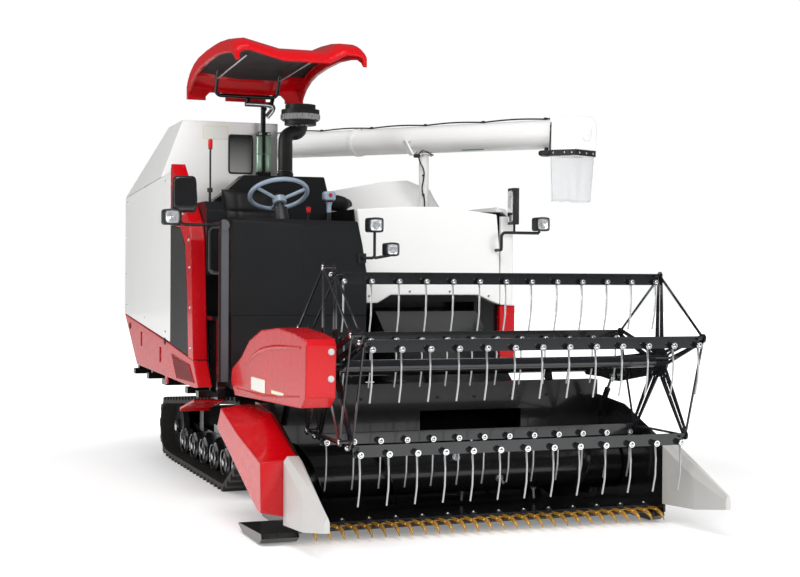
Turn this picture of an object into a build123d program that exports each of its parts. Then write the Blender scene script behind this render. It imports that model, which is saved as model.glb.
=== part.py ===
from build123d import *
from math import atan2, cos, degrees, hypot, pi, radians, sin
import os

# A crawler combine harvester: cutter and reel in front, grain tank on its right, thresher on its left.
# Millimetres. +Z is up, the front faces -Y, +X is the machine's own left.
# The origin is on the ground, under the middle of the whole machine.

# Widths across the machine, and what brings them to the middle of the whole
x_datum = 50
x_middle = -105
track_gauge = 1160
belt_width = 450
x_right = -1192
x_left = 985
rail_width = 90
rail_gap = 25
rail_offset = track_gauge / 2 - belt_width / 2 - rail_gap - rail_width / 2
cover_thick = 28
frame_deep = 88
seat_gap = 0.3
x_tank_left = -375
tank_wall = 8
tank_low = 1120
tank_floor_slope = 0.051
x_thresher_right = -118

# Crawlers: lug tips stand on z = 0
lug_height = 26
belt_thick = 24
lug_count = 52
wheel_r = 175
roller_r = 95
roller_count = 6
roller_pitch = 330
roller_front_y = 150
sprocket_y = -200
sprocket_z = 418
idler_y = 2040
idler_z = wheel_r + belt_thick + lug_height + 10

# Frame and decks
rail_low = 520
rail_high = 650
deck_z = 690
floor_z = 1150
floor_thick = 24
y_floor_front = -399

# Stations of the body along Y
y_console = -511
y_cover_front = -200
y_thresher = -140
y_tank = 780
y_tank_low = 2000
y_body_rear = 2200
y_rear = 2385

# Heights of the body
tank_top = 2457
console_top = 1752
thresher_top = 1830

# Cutter and its header
x_head = 125
guard_pitch = 76.2
guard_count = 28
head_half = 1080
sheet_thick = 12
y_tips = -1800
knife_z = 86
knife_gap = 0.3
auger_y = -1200
auger_z = 272
auger_drum_r = 130
auger_r = 190
trough_gap = 17
trough_r = auger_r + trough_gap
back_thick = 8
y_back = auger_y + trough_r + back_thick
head_top = 765
feeder_pivot_y = -130
feeder_pivot_z = 980
feeder_low_x = 0
feeder_high_x = 700

# Reel
reel_y = -1800
reel_z = 925
reel_r = 485
reel_shaft_r = 34
spider_thick = 8
crank_y = -40
crank_z = 37
pin_r = 9
pin_gap = 0.5
tine_count = 13
tine_pitch = 155
tine_drop = 300
arm_pivot_y = -880
arm_pivot_z = 835
arm_thick = 14
x_arm_right = x_head - head_half + 75
x_arm_left = x_head + head_half - 21
x_ring = x_arm_right + 30
x_spider_right = x_arm_right + 110
x_spider_left = x_arm_left - 19
x_reel_cyl_right = x_arm_right + 34
x_reel_cyl_left = x_arm_left - 21

# Lift cylinders: feet and eyes as (y, z), at rest
lift_x = x_middle + rail_offset
lift_foot = (-320, 430)
lift_eye = (-790, 300)
lift_drift = 16
reel_foot = (-1090, 560)
reel_eye = (-1255, 800)
reel_drift = 2

# Unloading auger
pipe_r = 95
base_x = -225
base_y = 2262
base_z = 2415
spout_x = 1125
spout_y = -605
spout_z = 2322


def tank_floor(y):
    """Height of the grain tank's floor, which falls towards the rear."""
    return tank_low + (y_tank_low - y) * tank_floor_slope


def prism_x(outline, low, high, mode=Mode.ADD, rounding=0):
    """Extrude an outline of (y, z) points from x = low to x = high."""
    with BuildSketch(Plane.YZ.offset(low)) as profile:
        with BuildLine():
            Polyline(*outline, close=True)
        make_face()
        if rounding:
            fillet(profile.vertices(), rounding)
    return extrude(profile.sketch, amount=high - low, mode=mode)


def prism_y(outline, low, high, mode=Mode.ADD, rounding=0):
    """Extrude an outline of (x, z) points from y = low to y = high."""
    plane = Plane(origin=(0, high, 0), x_dir=(1, 0, 0), z_dir=(0, -1, 0))
    with BuildSketch(plane) as profile:
        with BuildLine():
            Polyline(*outline, close=True)
        make_face()
        if rounding:
            fillet(profile.vertices(), rounding)
    return extrude(profile.sketch, amount=high - low, mode=mode)


def prism_z(outline, low, high, mode=Mode.ADD, rounding=0):
    """Extrude an outline of (x, y) points from z = low to z = high."""
    with BuildSketch(Plane.XY.offset(low)) as profile:
        with BuildLine():
            Polyline(*outline, close=True)
        make_face()
        if rounding:
            fillet(profile.vertices(), rounding)
    return extrude(profile.sketch, amount=high - low, mode=mode)


def block(x_low, x_high, y_low, y_high, z_low, z_high, mode=Mode.ADD):
    """A square-edged block between two corners."""
    corners = [(x_low, y_low), (x_high, y_low), (x_high, y_high), (x_low, y_high)]
    return prism_z(corners, z_low, z_high, mode)


def rod(start, end, radius, mode=Mode.ADD):
    """A round bar from one point to another."""
    run = Vector(*end) - Vector(*start)
    with BuildSketch(Plane(origin=start, z_dir=run)) as section:
        Circle(radius)
    return extrude(section.sketch, amount=run.length, mode=mode)


def tube(points, radius, bends):
    """A round bar along straight runs joined by arcs of the radii in bends."""
    with BuildLine() as route:
        FilletPolyline(*points, radius=bends)
    start = route.line @ 0
    with BuildSketch(Plane(origin=start, z_dir=route.line % 0)) as section:
        Circle(radius)
    return sweep(section.sketch, path=route.line)


def rounded_box(low, high, radius, mode=Mode.ADD):
    """A block whose upright edges are rounded."""
    corners = [(low[0], low[1]), (high[0], low[1]), (high[0], high[1]), (low[0], high[1])]
    return prism_z(corners, low[2], high[2], mode, radius)


def ruled_between(low_x, low_outline, high_x, high_outline):
    """A solid with straight edges from one (y, z) outline at low_x to another at high_x."""
    faces = []
    for x, outline in ((low_x, low_outline), (high_x, high_outline)):
        with BuildSketch(Plane.YZ.offset(x)) as profile:
            with BuildLine():
                Polyline(*outline, close=True)
            make_face()
        faces.append(profile.sketch.face())
    return loft(faces, ruled=True)


def ruled_along(sections):
    """A solid with straight edges through (y, [(x, z), ...]) sections from front to rear."""
    faces = []
    for y, outline in sections:
        plane = Plane(origin=(0, y, 0), x_dir=(1, 0, 0), z_dir=(0, -1, 0))
        with BuildSketch(plane) as profile:
            with BuildLine():
                Polyline(*outline, close=True)
            make_face()
        faces.append(profile.sketch.face())
    return loft(faces, ruled=True)


# Crawlers

def wheel_hull():
    """The face inside which the inside of a belt runs, in the YZ plane."""
    roller_rear_y = roller_front_y + (roller_count - 1) * roller_pitch
    roller_z = lug_height + belt_thick + roller_r
    wheels = [
        (sprocket_y, sprocket_z, wheel_r),
        (idler_y, idler_z, wheel_r),
        (roller_rear_y, roller_z, roller_r),
        (roller_front_y, roller_z, roller_r),
    ]
    with BuildSketch(Plane.YZ) as hull:
        for y, z, radius in wheels:
            with Locations((y, z)):
                Circle(radius)
        make_hull()
    return hull.sketch


def lugged_outline(inner):
    """Points of the belt's outside: each lug has a wide foot and a narrower tip."""
    pitch = inner.length / lug_count
    # distance along the belt from the lug's middle, height above the belt's inside
    tooth = [(-0.30, belt_thick), (-0.17, belt_thick + lug_height), (0.17, belt_thick + lug_height),
        (0.30, belt_thick)]
    middle = Vector(0, (sprocket_y + idler_y) / 2, (sprocket_z + idler_z) / 2)
    points = []
    for index in range(lug_count):
        for share, height in tooth:
            run = ((index + 0.5 + share) * pitch) % inner.length
            foot = inner.position_at(run, position_mode=PositionMode.LENGTH)
            along = inner.tangent_at(run, position_mode=PositionMode.LENGTH)
            outward = along.cross(Vector(1, 0, 0)).normalized()
            if outward.dot(foot - middle) < 0:
                outward = -outward
            tip = foot + outward * height
            points.append((tip.Y, tip.Z))
    return points


# where the frame's two cross beams lie: y, underside z
beam_rows = ((350, 440), (1500, 350))
beam_deep = 80
belt_inside = wheel_hull()
belt_outside = lugged_outline(belt_inside.face().outer_wire())
tracks = {}
track_frames = {}
rollers = {}
sprockets = {}
for side, x_track in (("right", x_middle - track_gauge / 2), ("left", x_middle + track_gauge / 2)):
    x_low = x_track - belt_width / 2
    with BuildPart() as track:
        prism_x(belt_outside, x_low, x_low + belt_width)
        extrude(Pos(x_low, 0, 0) * belt_inside, amount=belt_width, mode=Mode.SUBTRACT)
    tracks[side] = track

    beam_half = 42
    beam_low = 105
    beam_high = 250
    roller_z = lug_height + belt_thick + roller_r
    inward = 1 if side == "right" else -1
    with BuildPart() as track_frame:
        prism_x(
            [(roller_front_y - 80, beam_low), (1880, beam_low), (1960, idler_z - 40), (1960, idler_z + 45),
             (1700, beam_high + 20), (roller_front_y - 60, beam_high + 20),
             (roller_front_y - 130, beam_high)],
            x_track - beam_half, x_track + beam_half,
        )
        # two arms carry the beam from the cross beams of the frame
        for arm_y, beam_z in beam_rows:
            block(x_track - 60, x_track + 60, arm_y - 60, arm_y + 60, beam_high, beam_z)
        # the rear fork holds the tensioned wheel
        for edge in (-1, 1):
            x_fork = x_track + edge * 34
            block(x_fork - 8, x_fork + 8, 1850, idler_y + 35, idler_z - 32, idler_z + 32)
        rod((x_track - 70, idler_y, idler_z), (x_track + 70, idler_y, idler_z), 22)
        for index in range(roller_count):
            axle_y = roller_front_y + index * roller_pitch
            rod((x_track - 70, axle_y, roller_z), (x_track + 70, axle_y, roller_z), 22)
        # the upper skid keeps the belt's top run up
        block(x_track - 40, x_track + 40, 900, 1180, beam_high + 10, 330)
    track_frames[side] = track_frame

    with BuildPart() as roller_set:
        for index in range(roller_count):
            axle_y = roller_front_y + index * roller_pitch
            for edge in (-1, 1):
                face = x_track + edge * 70
                rod((face, axle_y, roller_z), (face + edge * 46, axle_y, roller_z), roller_r)
                rod((face + edge * 46, axle_y, roller_z), (face + edge * 60, axle_y, roller_z), 38)
        for edge in (-1, 1):
            face = x_track + edge * 70
            rod((face, idler_y, idler_z), (face + edge * 46, idler_y, idler_z), wheel_r)
            rod((face + edge * 46, idler_y, idler_z), (face + edge * 66, idler_y, idler_z), 55)
    rollers[side] = roller_set

    tooth_count = 11
    with BuildPart() as sprocket:
        ring = []
        for index in range(tooth_count * 4):
            radius = wheel_r - 3 if index % 4 in (0, 1) else wheel_r - 26
            angle = 2 * pi * index / (tooth_count * 4)
            ring.append((sprocket_y + radius * cos(angle), sprocket_z + radius * sin(angle)))
        prism_x(ring, x_track - 24, x_track + 24)
        rod((x_track - inward * 70, sprocket_y, sprocket_z),
            (x_track + inward * 140, sprocket_y, sprocket_z), 82)
    sprockets[side] = sprocket

# Frame

hitch_r = 13
hitch_y = 2330
hitch_z = 545
hitch_thick = 22
with BuildPart() as chassis:
    for edge in (-1, 1):
        x_rail = x_middle + edge * rail_offset
        block(x_rail - rail_width / 2, x_rail + rail_width / 2, -330, y_body_rear - 20, rail_low, rail_high)
    # cross beams to the crawler frames, then the outriggers under the bodies
    for beam_y, beam_z in beam_rows:
        block(x_middle - track_gauge / 2 - 60, x_middle + track_gauge / 2 + 60, beam_y - 60, beam_y + 60,
              beam_z, beam_z + beam_deep)
        for edge in (-1, 1):
            x_rail = x_middle + edge * rail_offset
            block(x_rail - rail_width / 2, x_rail + rail_width / 2, beam_y - 60, beam_y + 60, beam_z,
                rail_low)
    for y_low, y_high in ((-300, -220), (20, 100), (715, 870), (1360, 1440), (1910, 1990)):
        block(x_right + cover_thick, x_left - cover_thick, y_low, y_high, rail_high, deck_z)
    # posts under the grain tank
    for post_y in (830, 1400, 1950):
        block(x_right + 60, x_tank_left - 20, post_y - 30, post_y + 30, deck_z, tank_floor(post_y + 30))
    # tow plate with its pin hole at the rear
    block(x_middle - 55, x_middle + 55, y_body_rear - 180, hitch_y + 40, hitch_z - hitch_thick / 2,
        hitch_z + hitch_thick / 2)
    block(x_middle - rail_offset, x_middle + rail_offset, y_body_rear - 110, y_body_rear - 20, rail_low,
        rail_high)
    # two lugs for the lift cylinder's foot
    for x_lug in (lift_x - 56, lift_x + 42):
        block(x_lug, x_lug + 14, -330, -200, lift_foot[1] - 20, rail_low)
        prism_x([(lift_foot[0] - 30, lift_foot[1] - 30), (-200, lift_foot[1] - 40), (-200, rail_low),
                 (lift_foot[0] - 30, lift_foot[1] + 30)], x_lug, x_lug + 14)
    rod((lift_x - 56, *lift_foot), (lift_x + 56, *lift_foot), 12)
    block(lift_x - 56, x_middle + rail_offset + 10, -260, -200, rail_low, rail_low + 60)
    with Locations((x_middle, hitch_y, hitch_z)):
        Cylinder(hitch_r, hitch_thick * 3, mode=Mode.SUBTRACT)

    # gearbox with a drive shaft to each crawler
    prism_x(
        [(-330, 470), (-300, 300), (-120, 250), (60, 300), (60, rail_low), (-300, rail_low)],
        x_middle - 190, x_middle + 190, rounding=30,
    )
    for edge in (-1, 1):
        inner = x_middle + edge * 190
        outer = x_middle + edge * (track_gauge / 2 - 140)
        rod((inner, sprocket_y, sprocket_z), (outer, sprocket_y, sprocket_z), 68)
        rod((outer - edge * 45, sprocket_y, sprocket_z), (outer, sprocket_y, sprocket_z), 110)

# Engine, one plain block under the seat, on the outriggers
with BuildPart() as engine:
    block(-1030, -430, 20, 700, deck_z, 1118)

# Operator's floor on its legs
with BuildPart() as platform:
    block(x_right + frame_deep + seat_gap, -235, y_floor_front, 560, floor_z - floor_thick, floor_z)
    for leg_x in (-1060, -290):
        for leg_y in (-260, 740):
            block(leg_x - 25, leg_x + 25, leg_y - 25, leg_y + 25, deck_z, floor_z - floor_thick)
    block(-1085, -265, 535, 765, floor_z - floor_thick, floor_z - 6)
    # a front leg outside the console carries the post with the grab rail
    block(-1085, -1035, y_console + 40, y_floor_front, floor_z - floor_thick, floor_z)
    block(-1085, -1035, y_console + 40, y_console + 80, rail_high, floor_z)
    block(-1085, -1035, y_console + 40, -300, rail_high, deck_z)

    # the box under the seat
    prism_x([(-40, floor_z), (-60, 1440), (420, 1440), (420, floor_z)], -980, -330)

with BuildPart() as engine_cover:
    prism_y(
        [(-1075, floor_z), (-1075, 1700), (-900, 1905), (-853, 1935), (-705, 2068), (-145, 2070),
            (-122, 1980),
         (-122, floor_z)],
        421, 560, rounding=12,
    )

seat_x = -660
with BuildPart() as seat:
    rounded_box((seat_x - 240, -70, 1470), (seat_x + 240, 400, 1585), 60)
    prism_x([(318, 1560), (400, 1545), (418, 1960), (365, 1985), (335, 1900)], seat_x - 235, seat_x + 235)
    rounded_box((seat_x - 190, -20, 1440), (seat_x + 190, 360, 1475), 30)

# Console: a shell open at its back, in two panels that meet at a seam
seam_z = 1155
console_outline = [
    (-1005, 712), (-1011, 1640), (-1004, console_top), (-214, console_top - 14), (-182, 1600), (-150, 1412),
    (-157, 712),
]
console_side = [
    (-560, 700), (-560, 1688), (-470, console_top + 2), (-225, console_top + 8), (-225, 1600), (-330, 1400),
    (-400, 1150), (-420, 700),
]
console_plan = [(-1020, -498), (-565, -530), (-140, -503), (-140, -200), (-1020, -200)]


def console_form(shrink, z_low, z_high):
    """The console's outer form, or its hollow when shrunk by a wall, between two heights."""
    with BuildPart() as form:
        with BuildSketch(Plane.XY.offset(z_low)) as plan:
            with BuildLine():
                Polyline(*console_plan, close=True)
            make_face()
            if shrink:
                offset(amount=-shrink)
        extrude(plan.sketch, amount=z_high - z_low)
        with BuildSketch(Plane(origin=(0, 0, 0), x_dir=(1, 0, 0), z_dir=(0, -1, 0))) as front:
            with BuildLine():
                Polyline(*console_outline, close=True)
            make_face()
            if shrink:
                offset(amount=-shrink)
        extrude(front.sketch, amount=900, both=True, mode=Mode.INTERSECT)
        with BuildSketch(Plane.YZ.offset(-1400)) as side_view:
            with BuildLine():
                Polyline(*console_side, close=True)
            make_face()
            if shrink:
                offset(amount=-shrink)
        extrude(side_view.sketch, amount=2000, mode=Mode.INTERSECT)
    return form.part


console_wall = 18
console_solid = console_form(0, 700, 1800)
console_hollow = console_form(console_wall, 700, 1800)
with BuildPart() as console:
    add(console_solid)
    # a seam runs round between the upper and the lower panel
    groove_outer = Pos(0, 0, (seam_z - 3) + 3) * Box(2000, 2000, 6, mode=Mode.PRIVATE)
    groove_inner = console_form(4, 700, 1800)
    add(groove_outer - groove_inner, mode=Mode.SUBTRACT)
    add(console_hollow, mode=Mode.SUBTRACT)
    block(-960, -200, -440, -200, 600, 1700, mode=Mode.SUBTRACT)

# Steering wheel on its column, leaning back towards the driver
wheel_x = -672
wheel_lean = 28
wheel_centre = Vector(wheel_x, -330, 1905)
column_dir = Vector(0, -sin(radians(wheel_lean)), -cos(radians(wheel_lean)))
wheel_plane = Plane(origin=wheel_centre, x_dir=(1, 0, 0), z_dir=-column_dir)
wheel_rim_r = 178
rim_tube_r = 14
with BuildPart() as steering_wheel:
    with BuildSketch(Plane(origin=wheel_plane.origin + wheel_plane.x_dir * wheel_rim_r,
                           x_dir=wheel_plane.x_dir, z_dir=wheel_plane.y_dir)):
        Circle(rim_tube_r)
    revolve(axis=Axis(wheel_plane.origin, wheel_plane.z_dir), revolution_arc=360)
    hub = wheel_centre + column_dir * 45
    for spoke_angle in (205, 335, 90):
        rim_point = wheel_centre + wheel_plane.x_dir * (wheel_rim_r * cos(radians(spoke_angle)))
        rim_point = rim_point + wheel_plane.y_dir * (wheel_rim_r * sin(radians(spoke_angle)))
        rod(tuple(hub), tuple(rim_point), 11)
    rod(tuple(hub + column_dir * 22), tuple(hub - column_dir * 16), 42)
with BuildPart() as steering_column:
    top = hub + column_dir * 22.3
    rod(tuple(top), tuple(top + column_dir * 40), 24)
    rod(tuple(top + column_dir * 40), tuple(top + column_dir * 190), 42)
    add(console_solid, mode=Mode.SUBTRACT)
    block(-800, -500, -600, 0, 1500, 1700, mode=Mode.SUBTRACT)

# Levers: x, y, foot z, lean in x, lean in y, length, rod radius, knob radius, knob length
lever_rows = [
    (-1015, 60, 1858, 0, 0, 345, 6, 13, 60),
    (-1058, -120, 1858, 0, 0, 60, 8, 17, 26),
    (-345, -330, 1741, 0, 0, 120, 13, 30, 60),
    (-470, -300, 1743, 0, 0, 50, 7, 12, 40),
]
with BuildPart() as control_levers:
    for x, y, z, lean_x, lean_y, length, rod_r, knob_r, knob_length in lever_rows:
        foot = Vector(x, y, z)
        reach = Vector(lean_x, lean_y, length)
        rod(tuple(foot), tuple(foot + reach), rod_r)
        rod(tuple(foot + reach), tuple(foot + reach + Vector(0, 0, knob_length)), knob_r)

with BuildPart() as side_console:
    prism_x([(-222, 1500), (-222, 1800), (-160, 1858), (200, 1858), (400, 1700), (400, 1400), (-200, 1400)],
            -1100, -985)
    block(-1095, -990, -100, 300, floor_z, 1400)

with BuildPart() as grab_rails:
    prism_y([(-1090, 760), (-1090, 1640), (-1078, 1700), (-1035, 1700), (-1032, 1640), (-1032, 760)],
            -520, -500, rounding=6)
    rod((-1062, -525, 1700), (-1062, -500, 1700), 34)
    block(-1085, -1035, -500, y_console + 40, 800, 850)
    # the rail beside the step
    tube([(-1062, -506, 1690), (-1130, -450, 1690), (-1130, -450, 1415), (-1062, -506, 1415)], 11, 30)

# Right-hand side: white cover, dark screen door, red frame and lower cover
x_hinge = x_right + 3
y_hinge = 447.3
crease_front = (450, 2077)
crease_rear = (2196, 1986)
with BuildPart() as side_cover:
    prism_x([(450, 957), crease_front, (2196, 1984), (2214, 1100)], x_right, x_right + cover_thick,
        rounding=8)
    # hinge pins of the screen door
    for pin_z in (990, 1580):
        rod((x_hinge, y_hinge, pin_z), (x_hinge, y_hinge, pin_z + 100), 2.8)

door_gap = 6
with BuildPart() as screen_door:
    prism_x(
        [(450 - door_gap, 950), (-115, 898), (-78, 1244), (-11, 1586), (143, 1696), (450 - door_gap, 1722)],
        x_right, x_right + cover_thick - 4, rounding=6,
    )

front_edge = [(-413, 722), (-268, 879), (-232, 1246), (-195, 1616), (-134, 1729), (19, 1841), (406, 2126)]
rear_edge = [(444, 2100), (444, 1731), (138, 1704), (-19, 1592), (-86, 1246), (-123, 890)]
with BuildPart() as front_frame:
    prism_x(front_edge[1:] + rear_edge, x_right, x_right + cover_thick)
    band = [(y + 34, z - 6) for y, z in reversed(front_edge[2:])] + [(-234, 882)]
    prism_x(front_edge[1:] + band, x_right, x_right + frame_deep)

with BuildPart() as lower_cover:
    prism_x(
        [(2216, 1094), (1682, 737), (-300, 712), (-413, 722), (-268, 878.7), (-123, 889.7), (450, 945)],
        x_right, x_right + cover_thick,
    )
    # the front post's foot turns inwards
    prism_x([(-413, 722), (-270, 874), (-240, 868), (-360, 716)], x_right, x_right + frame_deep)
    # two grip recesses
    for grip_y, grip_z in ((1500, 935), (780, 860)):
        block(x_right - 1, x_right + 16, grip_y - 35, grip_y + 35, grip_z - 50, grip_z + 50,
            mode=Mode.SUBTRACT)
    # an ear for lashing hangs from the lower edge
    prism_x([(575, 724), (575, 690), (595, 668), (631, 668), (651, 690), (651, 724)], x_right + 8,
        x_right + 20)
    rod((x_right, 613, 692), (x_right + 30, 613, 692), 13, mode=Mode.SUBTRACT)

# Grain tank: hollow, with a sloped right shoulder and a sloped rear
tank_side = [
    (y_tank, tank_floor(y_tank)), (y_tank, tank_top), (1320, tank_top), (2190, 1990), (2190, 1300),
    (y_tank_low, tank_low),
]
shoulder = Plane(
    origin=(x_right, crease_front[0], crease_front[1] + 2),
    x_dir=(0, crease_rear[0] - crease_front[0], crease_rear[1] - crease_front[1]),
    z_dir=Vector(0, crease_rear[0] - crease_front[0], crease_rear[1] - crease_front[1]).cross(
        Vector(-1043 - x_right, 0, tank_top - 2062)),
)


def tank_form(shrink):
    """The tank's outer form, or its hollow when shrunk by the wall."""
    with BuildPart() as form:
        with BuildSketch(Plane.YZ.offset(x_right + shrink)) as profile:
            with BuildLine():
                Polyline(*tank_side, close=True)
            make_face()
            if shrink:
                offset(amount=-shrink)
        extrude(profile.sketch, amount=x_tank_left - x_right - 2 * shrink)
        cut_plane = shoulder.offset(-shrink if shoulder.z_dir.Z > 0 else shrink)
        split(bisect_by=cut_plane, keep=Keep.BOTTOM if shoulder.z_dir.Z > 0 else Keep.TOP)
    return form.part


with BuildPart() as tank:
    add(tank_form(0))
    # below the shoulder the wall steps in behind the side cover
    prism_x(
        [(500, 1000), (500, crease_front[1] + 2), (2300, 1984), (2300, 1000)],
        x_right - 5, x_right + cover_thick + seat_gap, mode=Mode.SUBTRACT,
    )
    add(tank_form(tank_wall), mode=Mode.SUBTRACT)
    prism_x(
        [(780 + tank_wall, 1190), (780 + tank_wall, 2070), (2190 - tank_wall, 1975),
            (2190 - tank_wall, 1300),
         (2000, 1135)],
        x_right + cover_thick + seat_gap, x_right + cover_thick + seat_gap + tank_wall, mode=Mode.ADD,
    )
    # window in the front wall
    rounded = [(-707, 2120), (-573, 2120), (-573, 2352), (-707, 2352)]
    prism_y(rounded, y_tank - 5, y_tank + 30, mode=Mode.SUBTRACT, rounding=8)
with BuildPart() as tank_window:
    prism_y([(-722, 2105), (-558, 2105), (-558, 2367), (-722, 2367)], y_tank - 4, y_tank, rounding=10)

# Thresher and its covers
hood_front = 800
with BuildPart() as thresher:
    block(x_thresher_right, x_left - cover_thick, y_thresher, y_body_rear, deck_z, thresher_top - 30)
    block(x_thresher_right, 880, y_thresher, y_body_rear, thresher_top - 30, thresher_top)
    # room for the feeder's turning end
    block(feeder_low_x - 30, feeder_high_x + 30, y_thresher - 5, feeder_pivot_y + 262, 650, 1232,
        mode=Mode.SUBTRACT)
    # the lower left edge is cut away above the crawler
    prism_y([(700, 600), (x_left, 600), (x_left, 820), (790, 820), (700, 760)], -300, 2300,
        mode=Mode.SUBTRACT)

with BuildPart() as front_cover:
    prism_y(
        [(-115, 1829), (-100, 1700), (-48, 1225), (30, 1225), (120, 1277), (735, 1277), (822, 1238),
            (893, 1212),
         (887, 1600), (867, 1812), (708, 1832), (494, 1855), (200, 1852)],
        y_cover_front, y_thresher, rounding=10,
    )
    fillet(front_cover.faces().sort_by(Axis.Y)[0].outer_wire().edges(), 8)

with BuildPart() as left_cover:
    prism_y(
        [(x_left - cover_thick, 1212), (x_left, 1212), (x_left, 1780), (940, 1850), (880, 1862),
            (880, thresher_top),
         (925, thresher_top), (x_left - cover_thick, thresher_top - 30)],
        y_cover_front + 30, 2150,
    )
    block(897, x_left, y_cover_front + 6, y_cover_front + 30, 1212, 1800)

with BuildPart() as left_lower_cover:
    block(x_left - cover_thick, x_left, -150, 2150, 825, 1206)
    prism_z([(895, y_cover_front + 10), (x_left + 30, y_cover_front + 35), (x_left + 30, 60), (x_left, 60),
             (x_left - cover_thick, -145), (895, -145)], 812, 1206)

hood_sections = [
    (hood_front, [(30, thresher_top), (32, 2000), (393, 2070), (600, 2090), (779, 2026),
        (872, thresher_top)]),
    (2150, [(30, thresher_top), (32, 1975), (393, 2050), (600, 2070), (779, 2010), (872, thresher_top)]),
]
with BuildPart() as drum_hood:
    ruled_along(hood_sections)
    ruled_along([
        (hood_front - 250, [(60, thresher_top), (70, 1850), (393, 1870), (600, 1870), (760, 1850),
                            (850, thresher_top)]),
        hood_sections[0],
    ])

with BuildPart() as straw_hood:
    prism_x(
        [(y_body_rear, 1780), (y_body_rear, 760), (y_rear - 60, 700), (y_rear, 720), (y_rear, 1000),
         (y_rear - 40, 1640), (y_rear - 90, 1740)],
        60, x_left - 10,
    )
    prism_x(
        [(y_body_rear, 1700), (y_body_rear, 650), (y_rear - 100, 650), (y_rear - 25, 730),
            (y_rear - 25, 990),
         (y_rear - 62, 1600), (y_rear - 105, 1700)],
        85, x_left - 35, mode=Mode.SUBTRACT,
    )

# Unloading auger: fixed upright tube, swivelling elbow, pipe with its spout
swivel_z = 2262
flange_r = 104
with BuildPart() as upright_auger:
    rod((base_x, base_y, 820), (base_x, base_y, swivel_z), 88)
    rod((base_x, base_y, swivel_z - 30), (base_x, base_y, swivel_z), flange_r)
    for bracket_z in (900, 1600):
        block(base_x, x_thresher_right, y_body_rear - 70, y_body_rear - 5, bracket_z, bracket_z + 70)

pipe_run = Vector(spout_x - base_x, spout_y - base_y, spout_z - base_z)
pipe_dir = pipe_run.normalized()
level_dir = Vector(pipe_dir.X, pipe_dir.Y, 0).normalized()
lift_axis = Vector(0, 0, 1).cross(level_dir)
trunnion_r = 24
with BuildPart() as unload_elbow:
    rod((base_x, base_y, swivel_z + 0.5), (base_x, base_y, swivel_z + 30), flange_r)
    rod((base_x, base_y, swivel_z + 20), (base_x, base_y, swivel_z + 36), 134)
    # two ears beside the pipe's heel carry the lift pin
    for edge in (-1, 1):
        ear = Vector(base_x, base_y, 0) + lift_axis * (edge * (pipe_r + 6))
        with BuildSketch(Plane(origin=(ear.X, ear.Y, base_z), x_dir=Vector(0, 0, 1),
            z_dir=lift_axis * edge)) as cheek:
            with BuildLine():
                Polyline((-140, -70), (-140, 70), (0, 58), (38, 36), (38, -36), (0, -58), close=True)
            make_face()
            Circle(trunnion_r + pin_gap, mode=Mode.SUBTRACT)
        extrude(cheek.sketch, amount=14)

pipe_start = Vector(base_x, base_y, base_z)
pipe_end = Vector(spout_x, spout_y, spout_z)
with BuildPart() as unload_pipe:
    rod(tuple(pipe_start - pipe_dir * 50), tuple(pipe_end), pipe_r)
    rod(tuple(pipe_start - lift_axis * (pipe_r + 22)), tuple(pipe_start + lift_axis * (pipe_r + 22)),
        trunnion_r)
    middle_point = pipe_start + pipe_dir * 1280
    rod(tuple(middle_point), tuple(middle_point + pipe_dir * 36), pipe_r + 7)

    # the spout, a box open at its bottom
    up_sign = 1 if pipe_dir.cross(lift_axis).Z < 0 else -1
    side_plane = Plane(origin=pipe_end, x_dir=pipe_dir, z_dir=lift_axis * up_sign)
    with BuildSketch(side_plane) as box_side:
        with BuildLine():
            Polyline((0, -150), (0, 96), (60, 105), (185, 108), (215, 60), (215, -150), close=True)
        make_face()
    extrude(box_side.sketch, amount=104, both=True)
    with BuildSketch(side_plane) as box_hollow:
        with BuildLine():
            Polyline((8, -160), (8, 86), (60, 95), (180, 98), (207, 55), (207, -160), close=True)
        make_face()
    extrude(box_hollow.sketch, amount=96, both=True, mode=Mode.SUBTRACT)

spout_mid = pipe_end + pipe_dir * 108
with BuildPart() as spout_curtain:
    pipe_up = lift_axis.cross(pipe_dir)
    pipe_up = pipe_up * (1 if pipe_up.Z > 0 else -1)
    curtain_plane = Plane(origin=spout_mid - pipe_up * 150, x_dir=pipe_dir, z_dir=-pipe_up)
    with BuildSketch(curtain_plane) as curtain_outer:
        Rectangle(216, 212)
    extrude(curtain_outer.sketch, amount=290, taper=2)
    with BuildSketch(curtain_plane) as curtain_inner:
        Rectangle(206, 202)
    extrude(curtain_inner.sketch, amount=300, taper=2, mode=Mode.SUBTRACT)

# Cradle that holds the pipe while the machine drives
cradle_along = 1960
cradle_point = pipe_start + pipe_dir * cradle_along
with BuildPart() as cradle:
    foot = (cradle_point.X, cradle_point.Y)
    saddle_z = cradle_point.Z - pipe_r - 6
    block(foot[0] - 70, foot[0] + 70, foot[1] - 50, foot[1] + 50, thresher_top + 22, thresher_top + 34)
    rod((foot[0], foot[1], thresher_top + 20), (foot[0], foot[1], saddle_z - 10), 34)
    block(foot[0] - 90, foot[0] + 60, foot[1] - 30, foot[1] + 30, saddle_z - 10, saddle_z)
    prism_y([(foot[0] - 152, saddle_z + 90), (foot[0] - 139, saddle_z + 90), (foot[0] - 85, saddle_z),
             (foot[0] - 75, saddle_z - 10), (foot[0] - 98, saddle_z - 10)], foot[1] - 30, foot[1] + 30)
    block(foot[0] - 60, foot[0] + 60, foot[1] - 45, foot[1] + 45, thresher_top, thresher_top + 24)

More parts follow.
